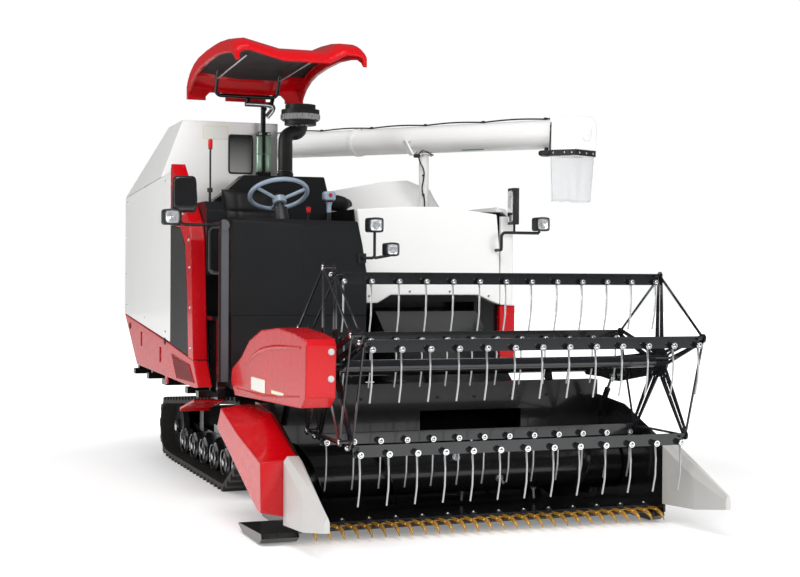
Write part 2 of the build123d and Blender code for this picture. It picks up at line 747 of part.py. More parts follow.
# Air cleaner standing pipe
cleaner_x = -248
pipe_x = -355
pipe_y = 650
with BuildPart() as air_cleaner:
    rod((pipe_x, pipe_y, 2068), (pipe_x, pipe_y, 2310), 50)
    rod((pipe_x, pipe_y, 2085), (pipe_x, pipe_y, 2105), 56)
    tube([(pipe_x, pipe_y, 2310), (pipe_x, pipe_y, 2385), (cleaner_x, pipe_y, 2385),
        (cleaner_x, pipe_y, 2445)],
         49, [60, 45])
    rod((cleaner_x, pipe_y, 2440), (cleaner_x, pipe_y, 2470), 110)
    rod((cleaner_x, pipe_y, 2470), (cleaner_x, pipe_y, 2515), 126)
    rod((cleaner_x, pipe_y, 2515), (cleaner_x, pipe_y, 2545), 132)
    rod((cleaner_x, pipe_y, 2545), (cleaner_x, pipe_y, 2580), 105)
    block(pipe_x - 60, pipe_x + 60, 560, pipe_y + 40, 2050, 2068)

# Canopy over the driver and its post
canopy_front = -600
canopy_rear = 800
canopy_low_x = -1015
canopy_high_x = -190
canopy_thick = 32
# crown of the roof from front to rear, and how far it lies below that from right to left
canopy_top_line = [
    (canopy_front, 2775), (-560, 2806), (-480, 2836), (-300, 2860), (-80, 2875), (180, 2870), (430, 2853),
    (570, 2828), (690, 2786), (760, 2742), (canopy_rear, 2700),
]
canopy_ribs = [(0, -32), (30, -10), (80, 0), (300, -55), (590, -55), (690, 0), (770, -2), (800, -12),
    (825, -38)]


def along_line(points, at):
    """The height of a line of points at a place along it."""
    for (start, low), (end, high) in zip(points, points[1:]):
        if start <= at <= end:
            return low + (high - low) * (at - start) / (end - start)


def canopy_tops(y, drop=0):
    """Points (x, z) over the roof at y, from right to left, its two ribs flatter towards the rear."""
    flatter = 1 - 0.5 * (y - canopy_front) / (canopy_rear - canopy_front)
    crown = along_line(canopy_top_line, y)
    return [(canopy_low_x + dx, crown + flatter * dz - drop) for dx, dz in canopy_ribs]


def canopy_section(y):
    """Outline of the roof with its two side skirts at y."""
    skirt = along_line(canopy_top_line, y) - 95
    under = canopy_tops(y, canopy_thick)[1:-1]
    return [(canopy_low_x, skirt), *canopy_tops(y), (canopy_high_x, skirt), (canopy_high_x - 25, skirt),
            *reversed(under), (canopy_low_x + 25, skirt)]


with BuildPart() as canopy:
    add(ruled_along([(y, canopy_section(y)) for y, _ in canopy_top_line]))
    prism_y([(canopy_low_x, 2600), *canopy_tops(canopy_rear, 4), (canopy_high_x, 2600)], canopy_rear - 18,
        canopy_rear)
    for x_cut in (canopy_low_x + 200, canopy_high_x - 200):
        prism_y([(x_cut - 70, 2560), (x_cut - 70, 2625), (x_cut - 40, 2655), (x_cut + 40, 2655),
            (x_cut + 70, 2625),
                 (x_cut + 70, 2560)], canopy_rear - 60, canopy_rear + 30, mode=Mode.SUBTRACT)
with BuildPart() as canopy_frame:
    tube([(-850, 560, 2795), (-850, 640, 2620), (-420, 640, 2620), (-420, 560, 2781)], 13, 40)
    add(canopy.part, mode=Mode.SUBTRACT)
    post_x = -500
    post_y = 700
    rod((post_x, post_y, 2080), (post_x, post_y, 2560), 17)
    block(post_x - 45, post_x + 45, post_y - 40, post_y + 25, 2085, 2110)
    block(post_x - 45, post_x + 45, post_y - 40, post_y + 25, 2360, 2385)
    block(post_x - 30, post_x + 30, post_y + 18, y_tank, 2080, 2104)
    block(post_x - 30, post_x + 30, post_y + 18, y_tank, 2368, 2390)
    rod((post_x - 130, post_y - 30, 2575), (post_x + 60, post_y - 30, 2575), 18)
    rod((post_x, post_y - 30, 2545), (post_x, post_y, 2545), 18)
    rod((post_x - 120, 640, 2610), (post_x - 120, post_y - 30, 2580), 14)
    rod((post_x + 50, 640, 2610), (post_x + 50, post_y - 30, 2580), 14)

# Mirrors and lamps on their arms
def lamp(x, y, z, half):
    """A work lamp with a short body behind its lens."""
    rounded_prism = [(x - half, z - half * 0.9), (x + half, z - half * 0.9), (x + half, z + half * 0.9),
                     (x - half, z + half * 0.9)]
    prism_y(rounded_prism, y - 25, y + 40, rounding=16)


with BuildPart() as mirrors:
    prism_y([(-1351, 1775), (-1211, 1775), (-1205, 1860), (-1215, 1995), (-1345, 1995), (-1353, 1860)],
        -435, -395,
            rounding=26)
    lamp(-1370, -470, 1745, 52)
    tube([(-1300, -410, 1880), (-1300, -380, 1880), (-1300, -380, 1705), (-1080, -380, 1705)], 10, [14, 30])
    rod((-1370, -440, 1745), (-1330, -384, 1708), 8)
    rod((-1335, -380, 1705), (-1295, -380, 1705), 9)
    block(-1090, -1060, -480, -370, 1701, 1722)
    rounded_box((930, -325, 1745), (975, -200 - 25, 1985), 12)
    lamp(1130, -330, 1748, 50)
    tube([(860, y_cover_front, 1575), (860, -290, 1575), (860, -290, 1690), (1130, -290, 1690)], 10,
        [14, 30])
    rod((952, -290, 1690), (952, -290, 1750), 8)
    rod((1130, -300, 1690), (1130, -300, 1720), 8)

with BuildPart() as front_lamps:
    lamp(-120, -560, 1715, 50)
    lamp(-25, -600, 1565, 45)
    tube([(-187, -512, 1511), (-187, -560, 1511), (-120, -560, 1511), (-120, -560, 1680)], 9, [20, 20])
    rod((-120, -560, 1511), (-25, -590, 1530), 9)
    block(-215, -160, -520, -508, 1480, 1540)

# Step beside the crawler
x_step = x_middle - track_gauge / 2 - belt_width / 2 - 10
with BuildPart() as step:
    prism_x([(40, 612), (470, 524), (470, 496), (455, 496), (455, 512), (40, 597)],
            x_right + 72, x_step)
    block(x_step - 40, x_step - 5, 40, 100, 597, rail_high)

# Feeder house, swinging with the header
feeder_wall = 10
feeder_side = [
    (y_back, 640), (feeder_pivot_y - 110, 1172), (feeder_pivot_y + 120, 1184), (feeder_pivot_y + 245, 1060),
    (feeder_pivot_y + 245, 900), (feeder_pivot_y + 120, 775), (-430, 660), (y_back, 170),
]
with BuildPart() as feeder_house:
    prism_x(feeder_side, feeder_low_x, feeder_high_x)
    prism_x(
        [(y_back - 10, 620), (feeder_pivot_y - 114, 1152), (feeder_pivot_y + 60, 1164),
            (feeder_pivot_y + 60, 800),
         (-420, 690), (y_back - 10, 195)],
        feeder_low_x + feeder_wall, feeder_high_x - feeder_wall, mode=Mode.SUBTRACT,
    )
    rod((feeder_low_x - 29.7, feeder_pivot_y, feeder_pivot_z),
        (feeder_low_x, feeder_pivot_y, feeder_pivot_z), 40)
    rod((feeder_high_x, feeder_pivot_y, feeder_pivot_z),
        (feeder_high_x + 29.7, feeder_pivot_y, feeder_pivot_z), 40)
    # lugs under the feeder take the lift cylinder's pin, with room for its swing
    for x_lug in (lift_x - 44, lift_x + 30):
        prism_x([(lift_eye[0] - 75, lift_eye[1] + 80), (lift_eye[0] - 42, lift_eye[1] - 36),
                 (lift_eye[0] + 42, lift_eye[1] - 36), (lift_eye[0] + 75, lift_eye[1] + 120)], x_lug,
                 x_lug + 14)
        rod((x_lug - 1, *lift_eye), (x_lug + 15, *lift_eye), 10 + lift_drift, mode=Mode.SUBTRACT)

# Header body: side sheets, trough round the auger, back sheet and top beam
x_head_low = x_head - head_half
x_head_high = x_head + head_half
with BuildPart() as header_body:
    with BuildSketch(Plane.YZ.offset(x_head_low)) as pan:
        with BuildLine():
            inner_low = (auger_y - 40, auger_z - trough_r)
            Polyline((y_tips + 60, 76), (y_tips + 60, 68), (auger_y - 40, auger_z - trough_r - 8))
            ThreePointArc(
                (auger_y - 40, auger_z - trough_r - 8),
                (auger_y + (trough_r + 8) * 0.7071, auger_z - (trough_r + 8) * 0.7071),
                (auger_y + trough_r + 8, auger_z),
            )
            Polyline((auger_y + trough_r + 8, auger_z), (auger_y + trough_r + 8, head_top),
                     (auger_y + trough_r, head_top), (auger_y + trough_r, auger_z))
            ThreePointArc(
                (auger_y + trough_r, auger_z),
                (auger_y + trough_r * 0.7071, auger_z - trough_r * 0.7071),
                inner_low,
            )
            Line(inner_low, (y_tips + 60, 76))
        make_face()
    extrude(pan.sketch, amount=2 * head_half)
    block(x_head_low, x_head_high, auger_y + trough_r + 8, auger_y + trough_r + 78, head_top - 60, head_top)
    block(feeder_low_x + 20, feeder_high_x - 20, auger_y + trough_r - 5, auger_y + trough_r + 20, 130, 600,
          mode=Mode.SUBTRACT)
    side_outline = [
        (y_tips + 0.3, 62), (y_tips + 0.3, 455), (-1320, 640), (-1000, 672), (-915, 672), (-915, 300),
        (-1080, 40),
        (-1500, 30),
    ]
    prism_x(side_outline, x_head_low - sheet_thick, x_head_low)
    prism_x(side_outline, x_head_high, x_head_high + sheet_thick)
    # knife beam under the cutter and two stiff uprights beside the feeder
    block(x_head_low, x_head_high, y_tips + 60, y_tips + 120, 52, 68)
    for x_post in (feeder_low_x - 60, feeder_high_x + 20):
        block(x_post, x_post + 40, auger_y + trough_r + 8, auger_y + trough_r + 48, 200, head_top - 60)
    # the right end of the back and its beam stay under the reel's drive cover
    block(x_head_low - 1, x_arm_right - 6, -1000, -900, 672, head_top + 10, mode=Mode.SUBTRACT)
    # lugs hold the reel's cross tube
    for x_lug in (-700, 100, 900):
        prism_x([(-960, head_top - 20), (-925, arm_pivot_z + 42), (-840, arm_pivot_z + 42),
                 (-835, arm_pivot_z - 30), (-915, head_top - 50)], x_lug, x_lug + 14)
        rod((x_lug - 1, arm_pivot_y, arm_pivot_z), (x_lug + 15, arm_pivot_y, arm_pivot_z), 30 + pin_gap,
            mode=Mode.SUBTRACT)
    # brackets and pins for the feet of the reel's cylinders
    for x_side, x_pin in ((x_head_low, x_reel_cyl_right + 24), (x_head_high, x_reel_cyl_left - 24)):
        rod((x_side, *reel_foot), (x_pin, *reel_foot), 8)
    # skids
    for low, high in ((x_head_low - 203, x_head_low), (x_head_high - 60, x_head_high + sheet_thick)):
        prism_x([(y_tips + 20, 66), (y_tips + 10, 40), (y_tips + 60, 10), (-1400, 10), (-1300, 40),
            (-1300, 50)],
                low, high)

with BuildPart() as knife_guards:
    for index in range(guard_count):
        x = x_head + (index - (guard_count - 1) / 2) * guard_pitch
        prism_z([(x - 14, y_tips + 105), (x - 14, y_tips + 45), (x - 4, y_tips), (x + 4, y_tips),
                 (x + 14, y_tips + 45), (x + 14, y_tips + 105)], 76, knife_z - knife_gap)
        prism_x([(y_tips, 76), (y_tips, 82), (y_tips + 40, knife_z - knife_gap),
            (y_tips + 59, knife_z - knife_gap),
                 (y_tips + 59, 70)], x - 4, x + 4)
    block(x_head_low + 0.3, x_head_high - 0.3, y_tips + 60, y_tips + 105, 76, 80)

# the knife strokes half a guard pitch each way and stays clear of the side sheets
knife_stroke = guard_pitch / 2
knife_end_gap = 6.9
knife_end = knife_stroke + knife_end_gap
with BuildPart() as knife:
    block(x_head_low + knife_end, x_head_high - knife_end, y_tips + 84, y_tips + 104, knife_z, knife_z + 7)
    for index in range(guard_count - 1):
        x = x_head + (index - (guard_count - 2) / 2) * guard_pitch
        prism_z([(x - 36, y_tips + 100), (x - 8, y_tips + 34), (x + 8, y_tips + 34), (x + 36, y_tips + 100)],
                knife_z, knife_z + 3)

with BuildPart() as header_side_cover:
    ruled_between(
        x_head_low - 210, [(y_tips + 0.3, 178), (-1722, 182), (-804, 522), (-902, 640), (-1300, 531),
            (-1783, 436)],
        x_head_low - sheet_thick,
        [(y_tips + 0.3, 138), (-1722, 138), (-780, 500), (-800, 652), (-1270, 640), (y_tips + 0.3, 450)],
    )

with BuildPart() as crop_dividers:
    for x_mid in (x_head_low - 40, x_head_high + 40):
        ruled_along([
            (y_tips, [(x_mid - 50, 110), (x_mid + 50, 110), (x_mid + 50, 440), (x_mid + 30, 466),
                (x_mid - 30, 466),
                     (x_mid - 50, 440)]),
            (-2120, [(x_mid - 40, 125), (x_mid + 40, 125), (x_mid + 40, 300), (x_mid + 12, 350),
                (x_mid - 12, 350),
                     (x_mid - 40, 300)]),
            (-2398, [(x_mid - 14, 165), (x_mid + 14, 165), (x_mid + 14, 215), (x_mid + 6, 238),
                (x_mid - 6, 238),
                     (x_mid - 14, 215)]),
        ])

def flight(x_start, turns, pitch, lefthand):
    """A screw flight round the auger's drum, starting at x_start."""
    helix = Helix(pitch=pitch, height=pitch * turns, radius=auger_drum_r - 4, lefthand=lefthand)
    blade = Plane(origin=helix @ 0, x_dir=(1, 0, 0), z_dir=helix % 0)
    with BuildSketch(blade, mode=Mode.PRIVATE) as section:
        Rectangle(auger_r - auger_drum_r + 4, 5, align=(Align.MIN, Align.CENTER))
    screw = sweep(section.sketch, path=helix, is_frenet=True, mode=Mode.PRIVATE)
    return Plane(origin=(x_start, auger_y, auger_z), x_dir=(0, 1, 0), z_dir=(1, 0, 0)).location * screw


with BuildPart() as header_auger:
    rod((x_head_low + 12, auger_y, auger_z), (x_head_high - 12, auger_y, auger_z), auger_drum_r)
    rod((x_head_low + 0.3, auger_y, auger_z), (x_head_high - 0.3, auger_y, auger_z), 30)
    add(flight(x_head_low + 20, 2.2, 420, False))
    add(flight(feeder_high_x + 25, 1.05, 420, True))
    for index in range(8):
        x = 40 + index * 88
        angle = radians(140 * index)
        rod((x, auger_y, auger_z), (x, auger_y + (auger_r - 2) * cos(angle),
            auger_z + (auger_r - 2) * sin(angle)), 7)


# Reel: shaft and two spiders, an offset ring spider, five bats that keep their tines upright

def vertex(index, radius=reel_r):
    """Where a bat's pin lies, as y and z from the reel's axis."""
    angle = radians(72 * index)
    return -radius * sin(angle), radius * cos(angle)


def spider(x_face, centre_y, centre_z, hub_r, bore_r, double):
    """Five arms and a thin rim, spider_thick wide from x_face on, pierced for the bats' pins."""
    for index in range(5):
        dy, dz = vertex(index)
        length = hypot(dy, dz)
        along = (dy / length, dz / length)
        across = (-along[1], along[0])
        for shift_foot, shift_tip in (((-34, -14), (34, 14)) if double else ((0, 0),)):
            half = 9 if double else 14
            foot = (centre_y + along[0] * (hub_r - 6) + across[0] * shift_foot,
                    centre_z + along[1] * (hub_r - 6) + across[1] * shift_foot)
            tip = (centre_y + dy + across[0] * shift_tip, centre_z + dz + across[1] * shift_tip)
            prism_x([(foot[0] - across[0] * half, foot[1] - across[1] * half),
                     (foot[0] + across[0] * half, foot[1] + across[1] * half),
                     (tip[0] + across[0] * half, tip[1] + across[1] * half),
                     (tip[0] - across[0] * half, tip[1] - across[1] * half)],
                    x_face, x_face + spider_thick)
        rod((x_face, centre_y + dy, centre_z + dz), (x_face + spider_thick, centre_y + dy, centre_z + dz),
            24)
        next_y, next_z = vertex(index + 1)
        run = hypot(next_y - dy, next_z - dz)
        side_y = -(next_z - dz) / run * 6
        side_z = (next_y - dy) / run * 6
        prism_x([(centre_y + dy + side_y, centre_z + dz + side_z),
            (centre_y + next_y + side_y, centre_z + next_z + side_z),
                 (centre_y + next_y - side_y, centre_z + next_z - side_z),
                 (centre_y + dy - side_y, centre_z + dz - side_z)],
                x_face, x_face + spider_thick)
    rod((x_face, centre_y, centre_z), (x_face + spider_thick, centre_y, centre_z), hub_r)
    rod((x_face - 1, centre_y, centre_z), (x_face + spider_thick + 1, centre_y, centre_z), bore_r,
        mode=Mode.SUBTRACT)
    for index in range(5):
        dy, dz = vertex(index)
        rod((x_face - 1, centre_y + dy, centre_z + dz),
            (x_face + spider_thick + 1, centre_y + dy, centre_z + dz),
            pin_r + pin_gap, mode=Mode.SUBTRACT)


with BuildPart() as reel:
    spider(x_spider_right, reel_y, reel_z, 90, 20, True)
    spider(x_spider_left, reel_y, reel_z, 90, 20, True)
    rod((x_arm_right - 10, reel_y, reel_z), (x_arm_left + arm_thick + 10, reel_y, reel_z), reel_shaft_r - 8)
    rod((x_spider_right, reel_y, reel_z), (x_spider_left, reel_y, reel_z), reel_shaft_r)

ring_bore = 104
with BuildPart() as reel_ring:
    spider(x_ring, reel_y + crank_y, reel_z + crank_z, ring_bore + 22, ring_bore, False)

bat_low = x_spider_right + spider_thick + 3
bat_high = x_spider_left - 3
with BuildPart() as bat:
    # a flat bar with a lip hangs from the bat's pins
    prism_x([(-13, 12), (13, 12), (13, -52), (8, -52), (8, 4), (-13, 4)], bat_low, bat_high)
    rod((bat_low - spider_thick - 26, 0, 0), (bat_low + 30, 0, 0), pin_r)
    rod((bat_high - 30, 0, 0), (bat_high + spider_thick + 8, 0, 0), pin_r)
    # crank to the ring spider
    crank_x = x_spider_right - 22
    span = hypot(crank_y, crank_z)
    with BuildSketch(Plane.YZ.offset(crank_x)) as crank_face:
        with BuildLine():
            side = (-crank_z / span * 17, crank_y / span * 17)
            Polyline((side[0], side[1]), (crank_y + side[0], crank_z + side[1]),
                     (crank_y - side[0], crank_z - side[1]), (-side[0], -side[1]), close=True)
        make_face()
        Circle(17)
        with Locations((crank_y, crank_z)):
            Circle(17)
    extrude(crank_face.sketch, amount=8)
    rod((x_ring - 3, crank_y, crank_z), (crank_x + 4, crank_y, crank_z), pin_r)
    for index in range(tine_count):
        x = (bat_low + bat_high) / 2 + (index - (tine_count - 1) / 2) * tine_pitch
        bend = [(x, 0, -30), (x, -14, -120), (x, -8, -215), (x, 18, -tine_drop)]
        for start, end in zip(bend, bend[1:]):
            with BuildSketch(Plane(origin=start, x_dir=(1, 0, 0),
                z_dir=Vector(*end) - Vector(*start))) as wire:
                Rectangle(7, 7)
            extrude(wire.sketch, amount=(Vector(*end) - Vector(*start)).length + 2)
        prism_x([(-20, -24), (8, -24), (8, -46), (-20, -46)], x - 14, x + 14)

bats = {}
for index in range(5):
    dy, dz = vertex(index)
    bats[index + 1] = Pos(0, reel_y + dy, reel_z + dz) * bat.part


def arm_outline(wide_foot, wide_tip):
    """A reel arm in side view, from the cross tube to the reel's shaft."""
    return [(arm_pivot_y + 55, arm_pivot_z - 20), (arm_pivot_y + 20, arm_pivot_z + wide_foot),
            (reel_y - 30, reel_z + wide_tip), (reel_y - wide_tip, reel_z), (reel_y - 30, reel_z - wide_tip),
            (reel_eye[0] - 40, reel_eye[1] - 26), (reel_eye[0] + 40, reel_eye[1] - 26),
            (arm_pivot_y - 200, arm_pivot_z - wide_foot), (arm_pivot_y, arm_pivot_z - wide_foot)]


with BuildPart() as reel_arms:
    prism_x(arm_outline(48, 62), x_arm_right, x_arm_right + arm_thick)
    prism_x(arm_outline(48, 62), x_arm_left, x_arm_left + arm_thick)
    rod((x_arm_right, arm_pivot_y, arm_pivot_z), (x_arm_left + arm_thick, arm_pivot_y, arm_pivot_z), 30)
    # pins for the eyes of the two cylinders
    rod((x_arm_right + 1, *reel_eye), (x_reel_cyl_right + 20, *reel_eye), 8)
    rod((x_reel_cyl_left - 20, *reel_eye), (x_arm_left + 1, *reel_eye), 8)
    # the eccentric disc on which the ring spider turns
    rod((x_arm_right + arm_thick - 1, reel_y + crank_y, reel_z + crank_z),
        (x_ring + spider_thick + 4, reel_y + crank_y, reel_z + crank_z), ring_bore - pin_gap)
    rod((x_arm_right - 5, reel_y, reel_z), (x_ring + spider_thick + 10, reel_y, reel_z),
        reel_shaft_r - 8 + pin_gap,
        mode=Mode.SUBTRACT)
    rod((x_arm_left - 5, reel_y, reel_z), (x_arm_left + arm_thick + 5, reel_y, reel_z),
        reel_shaft_r - 8 + pin_gap,
        mode=Mode.SUBTRACT)

cover_side = [
    (-2215, 1060), (-2205, 800), (-2130, 745), (-1950, 738), (-762, 702), (-670, 775), (-690, 850),
    (-910, 930),
    (-1100, 1035), (-1360, 1103), (-1700, 1128), (-2000, 1112), (-2190, 1090),
]
x_cover_outer = x_head_low - 95
with BuildPart() as reel_drive_cover:
    prism_x(cover_side, x_cover_outer, x_arm_right - 14)
    with BuildSketch(Plane.YZ.offset(x_cover_outer + 6)) as cover_hollow:
        with BuildLine():
            Polyline(*cover_side, close=True)
        make_face()
        offset(amount=-6)
    extrude(cover_hollow.sketch, amount=x_arm_right - 14 - x_cover_outer, mode=Mode.SUBTRACT)
    for y, z in ((-1000, 800), (-1550, 1000)):
        rod((x_cover_outer + 5, y, z), (x_arm_right - 0.3, y, z), 14)

# Lift cylinders: one under the feeder, one at each end of the reel

def cylinder_pair(x, foot, eye, sizes):
    """A barrel with its eye on the foot pin and a rod whose end reaches the upper pin."""
    barrel_r, rod_r, bore_start, barrel_length, rod_start, foot_pin_r, eye_r, eye_half = sizes
    run = Vector(0, eye[0] - foot[0], eye[1] - foot[1])
    reach = run.length
    along = run.normalized()
    start = Vector(x, foot[0], foot[1])

    def point(distance):
        return tuple(start + along * distance)

    with BuildPart() as barrel:
        rod(point(0), point(barrel_length), barrel_r)
        rod((x - eye_half, *foot), (x + eye_half, *foot), barrel_r)
        rod(point(bore_start), point(barrel_length + 1), rod_r + pin_gap, mode=Mode.SUBTRACT)
        wide = max(eye_half, barrel_r) + 1
        rod((x - wide, *foot), (x + wide, *foot), foot_pin_r + 0.3, mode=Mode.SUBTRACT)
    with BuildPart() as ram:
        rod(point(rod_start), point(reach), rod_r)
        rod((x - eye_half, *eye), (x + eye_half, *eye), eye_r)
    return barrel.part, ram.part


lift_barrel, lift_ram = cylinder_pair(lift_x, lift_foot, lift_eye, (32, 18, 40, 330, 60, 12, 18, 28))
# the ram's pin reaches through the feeder's lugs
with BuildPart() as lift_ram_pinned:
    add(lift_ram)
    rod((lift_x - 48, *lift_eye), (lift_x + 48, *lift_eye), 10)
reel_sizes = (18, 9, 22, 200, 45, 8, 18, 14)
reel_cylinders = {}
for side, x_cyl in (("right", x_reel_cyl_right), ("left", x_reel_cyl_left)):
    reel_barrel, reel_ram = cylinder_pair(x_cyl, reel_foot, reel_eye, reel_sizes)
    with BuildPart() as bored_ram:
        add(reel_ram)
        rod((x_cyl - 20, *reel_eye), (x_cyl + 20, *reel_eye), 8 + reel_drift, mode=Mode.SUBTRACT)
    reel_cylinders[side] = (reel_barrel, bored_ram.part)

# Pieces that are bolted or welded into one
with BuildPart() as track_frame_set:
    add(track_frames["right"].part)
    add(track_frames["left"].part)
with BuildPart() as track_wheels:
    for wheel_set in (*rollers.values(), *sprockets.values()):
        add(wheel_set.part)

pieces = {
    "track_right": tracks["right"].part,
    "track_left": tracks["left"].part,
    "track_frames": track_frame_set.part,
    "track_wheels": track_wheels.part,
    "chassis": chassis.part,
    "engine": engine.part,
    "platform": platform.part,
    "engine_cover": engine_cover.part,
    "seat": seat.part,
    "console": console.part,
    "steering_wheel": steering_wheel.part,
    "steering_column": steering_column.part,
    "control_levers": control_levers.part,
    "side_console": side_console.part,
    "grab_rails": grab_rails.part,
    "side_cover": side_cover.part,
    "screen_door": screen_door.part,
    "front_frame": front_frame.part,
    "lower_cover": lower_cover.part,
    "tank": tank.part,
    "tank_window": tank_window.part,
    "thresher": thresher.part,
    "front_cover": front_cover.part,
    "left_cover": left_cover.part,
    "left_lower_cover": left_lower_cover.part,
    "drum_hood": drum_hood.part,
    "straw_hood": straw_hood.part,
    "upright_auger": upright_auger.part,
    "unload_elbow": unload_elbow.part,
    "unload_pipe": unload_pipe.part,
    "spout_curtain": spout_curtain.part,
    "cradle": cradle.part,
    "air_cleaner": air_cleaner.part,
    "canopy": canopy.part,
    "canopy_frame": canopy_frame.part,
    "mirrors": mirrors.part,
    "front_lamps": front_lamps.part,
    "step": step.part,
    "feeder_house": feeder_house.part,
    "header_body": header_body.part,
    "knife_guards": knife_guards.part,
    "knife": knife.part,
    "header_side_cover": header_side_cover.part,
    "crop_dividers": crop_dividers.part,
    "header_auger": header_auger.part,
    "reel": reel.part,
    "reel_ring": reel_ring.part,
    "reel_arms": reel_arms.part,
    "reel_drive_cover": reel_drive_cover.part,
    "lift_barrel": lift_barrel,
    "lift_ram": lift_ram_pinned.part,
    "reel_barrel_right": reel_cylinders["right"][0],
    "reel_ram_right": reel_cylinders["right"][1],
    "reel_barrel_left": reel_cylinders["left"][0],
    "reel_ram_left": reel_cylinders["left"][1],
}
for index, shape in bats.items():
    pieces[f"bat_{index}"] = shape

# The stations above are counted from a plane beside the cutter's middle; the origin is under the machine's middle
os.makedirs("parts", exist_ok=True)
for name, built in pieces.items():
    shape = Pos(x_datum, 0, 0) * built
    shape.label = name
    export_step(shape, f"parts/{name}.step")
print(len(pieces), "pieces")
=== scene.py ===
# %% [markdown]
# # A crawler combine harvester
# The CAD model is the frame that everything hangs on: it comes in first, in metres, and stays where it is.

# %% Load the frame
import math

import bmesh
import bpy
import numpy as np
from mathutils import Matrix, Vector


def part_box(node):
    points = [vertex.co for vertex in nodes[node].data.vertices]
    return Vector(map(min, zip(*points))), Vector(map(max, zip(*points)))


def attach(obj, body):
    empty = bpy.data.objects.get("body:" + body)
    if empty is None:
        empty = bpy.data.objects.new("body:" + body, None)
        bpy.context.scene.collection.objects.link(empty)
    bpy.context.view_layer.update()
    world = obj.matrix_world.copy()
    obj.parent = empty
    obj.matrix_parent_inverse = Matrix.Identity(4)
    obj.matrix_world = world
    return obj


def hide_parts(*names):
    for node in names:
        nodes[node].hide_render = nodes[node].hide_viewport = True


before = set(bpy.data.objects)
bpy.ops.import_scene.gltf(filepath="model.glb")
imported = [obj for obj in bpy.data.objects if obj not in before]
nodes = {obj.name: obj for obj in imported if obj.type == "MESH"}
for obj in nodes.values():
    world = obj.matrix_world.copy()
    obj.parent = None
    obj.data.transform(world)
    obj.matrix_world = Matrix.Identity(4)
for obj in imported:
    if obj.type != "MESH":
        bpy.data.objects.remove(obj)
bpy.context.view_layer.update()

# %% [markdown]
# ## The camera
# A long lens from a person's chest height, well off the machine's right front corner. The numbers were
# solved from the cutter's guards and the crawler's contact line, so the frame needs no shift. The turn is
# written as a matrix of the camera's own three directions, which says more plainly than angles where it
# looks.

# %% Camera
camera_place = (-3.026, -9.036, 1.414)
yaw, pitch, roll = (math.radians(angle) for angle in (20.24, -0.577, 0.32))
ahead = Vector((math.sin(yaw) * math.cos(pitch), math.cos(yaw) * math.cos(pitch), math.sin(pitch)))
level = Vector((math.cos(yaw), -math.sin(yaw), 0))
rise = level.cross(ahead)
right = level * math.cos(roll) + rise * math.sin(roll)
up = -level * math.sin(roll) + rise * math.cos(roll)
camera_turn = Matrix([[right[row], up[row], -ahead[row]] for row in range(3)])
camera_data = bpy.data.cameras.new("camera")
camera_data.lens = 65.25
camera_data.sensor_width = 36
camera_data.clip_end = 200
camera = bpy.data.objects.new("camera", camera_data)
camera.matrix_world = Matrix.Translation(camera_place) @ camera_turn.to_4x4()
bpy.context.scene.collection.objects.link(camera)
bpy.context.scene.camera = camera
print("camera at", camera_place, "with a lens of", camera_data.lens, "mm")

# %% [markdown]
# ## Node helpers
# Every material and the world are small trees of nodes. Three helpers keep them short: one starts a
# material, one adds a node with its values, and one maps a factor onto a range, which is the step that
# repeats most.

# %% Node helpers
def new_material(name):
    """A material with nodes, its node tree and its shader."""
    material = bpy.data.materials.new(name)
    material.use_nodes = True
    tree = material.node_tree
    return material, tree, tree.nodes["Principled BSDF"]


def add_node(tree, kind, **values):
    """A node of that kind with its sockets or properties set by name."""
    node = tree.nodes.new(kind)
    for key, value in values.items():
        if key in node.inputs:
            node.inputs[key].default_value = value
        else:
            setattr(node, key, value)
    return node


def ramped(tree, factor, low, high, start=0.0, end=1.0, ease="LINEAR"):
    """A value that runs from low to high while the factor runs from start to end. Low and high may be
    sockets."""
    span = add_node(tree, "ShaderNodeMapRange", interpolation_type=ease)
    settings = {"Value": factor, "From Min": start, "From Max": end, "To Min": low, "To Max": high}
    for socket, value in settings.items():
        if isinstance(value, (int, float)):
            span.inputs[socket].default_value = value
        else:
            tree.links.new(value, span.inputs[socket])
    return span.outputs["Result"]


print("helpers for nodes are ready")

# %% [markdown]
# ## Floor and world
# A catalogue picture is taken on a white sweep that has no horizon. The floor here is pale and matt, and
# far out it glows white to the camera alone, so its edge is lost in the white of the world. The world shows
# white to the camera and through clear sheet, but lights the machine with half of that, so that the paint
# keeps its depth. What a glossy surface mirrors of it is darker still, as in a room whose walls are black
# beside the softboxes: the red stays red and the black stays black.

# %% Floor and world
floor_reach = 40
near_glow, far_glow = 0.22, 1.0
glow_start, glow_end = 2.6, 5.5
floor_mesh = bpy.data.meshes.new("floor")
floor_corners = [(x * floor_reach, y * floor_reach, 0) for x, y in ((-1, -1), (1, -1), (1, 1), (-1, 1))]
floor_mesh.from_pydata(floor_corners, [], [(0, 1, 2, 3)])
floor = bpy.data.objects.new("floor", floor_mesh)
bpy.context.scene.collection.objects.link(floor)
floor_finish, floor_tree, floor_shader = new_material("floor_pale")
floor_shader.inputs["Base Color"].default_value = (0.92, 0.92, 0.92, 1)
floor_shader.inputs["Roughness"].default_value = 0.7
floor_shader.inputs["Specular IOR Level"].default_value = 0.1
floor_shader.inputs["Emission Color"].default_value = (1, 1, 1, 1)
floor_place = add_node(floor_tree, "ShaderNodeTexCoord")
floor_range = add_node(floor_tree, "ShaderNodeVectorMath", operation="LENGTH")
floor_tree.links.new(floor_place.outputs["Object"], floor_range.inputs[0])
glow_by_range = ramped(floor_tree, floor_range.outputs["Value"], near_glow, far_glow, glow_start, glow_end,
                       "SMOOTHSTEP")
floor_rays = add_node(floor_tree, "ShaderNodeLightPath")
floor_glow = ramped(floor_tree, floor_rays.outputs["Is Camera Ray"], near_glow, glow_by_range)
floor_tree.links.new(floor_glow, floor_shader.inputs["Emission Strength"])
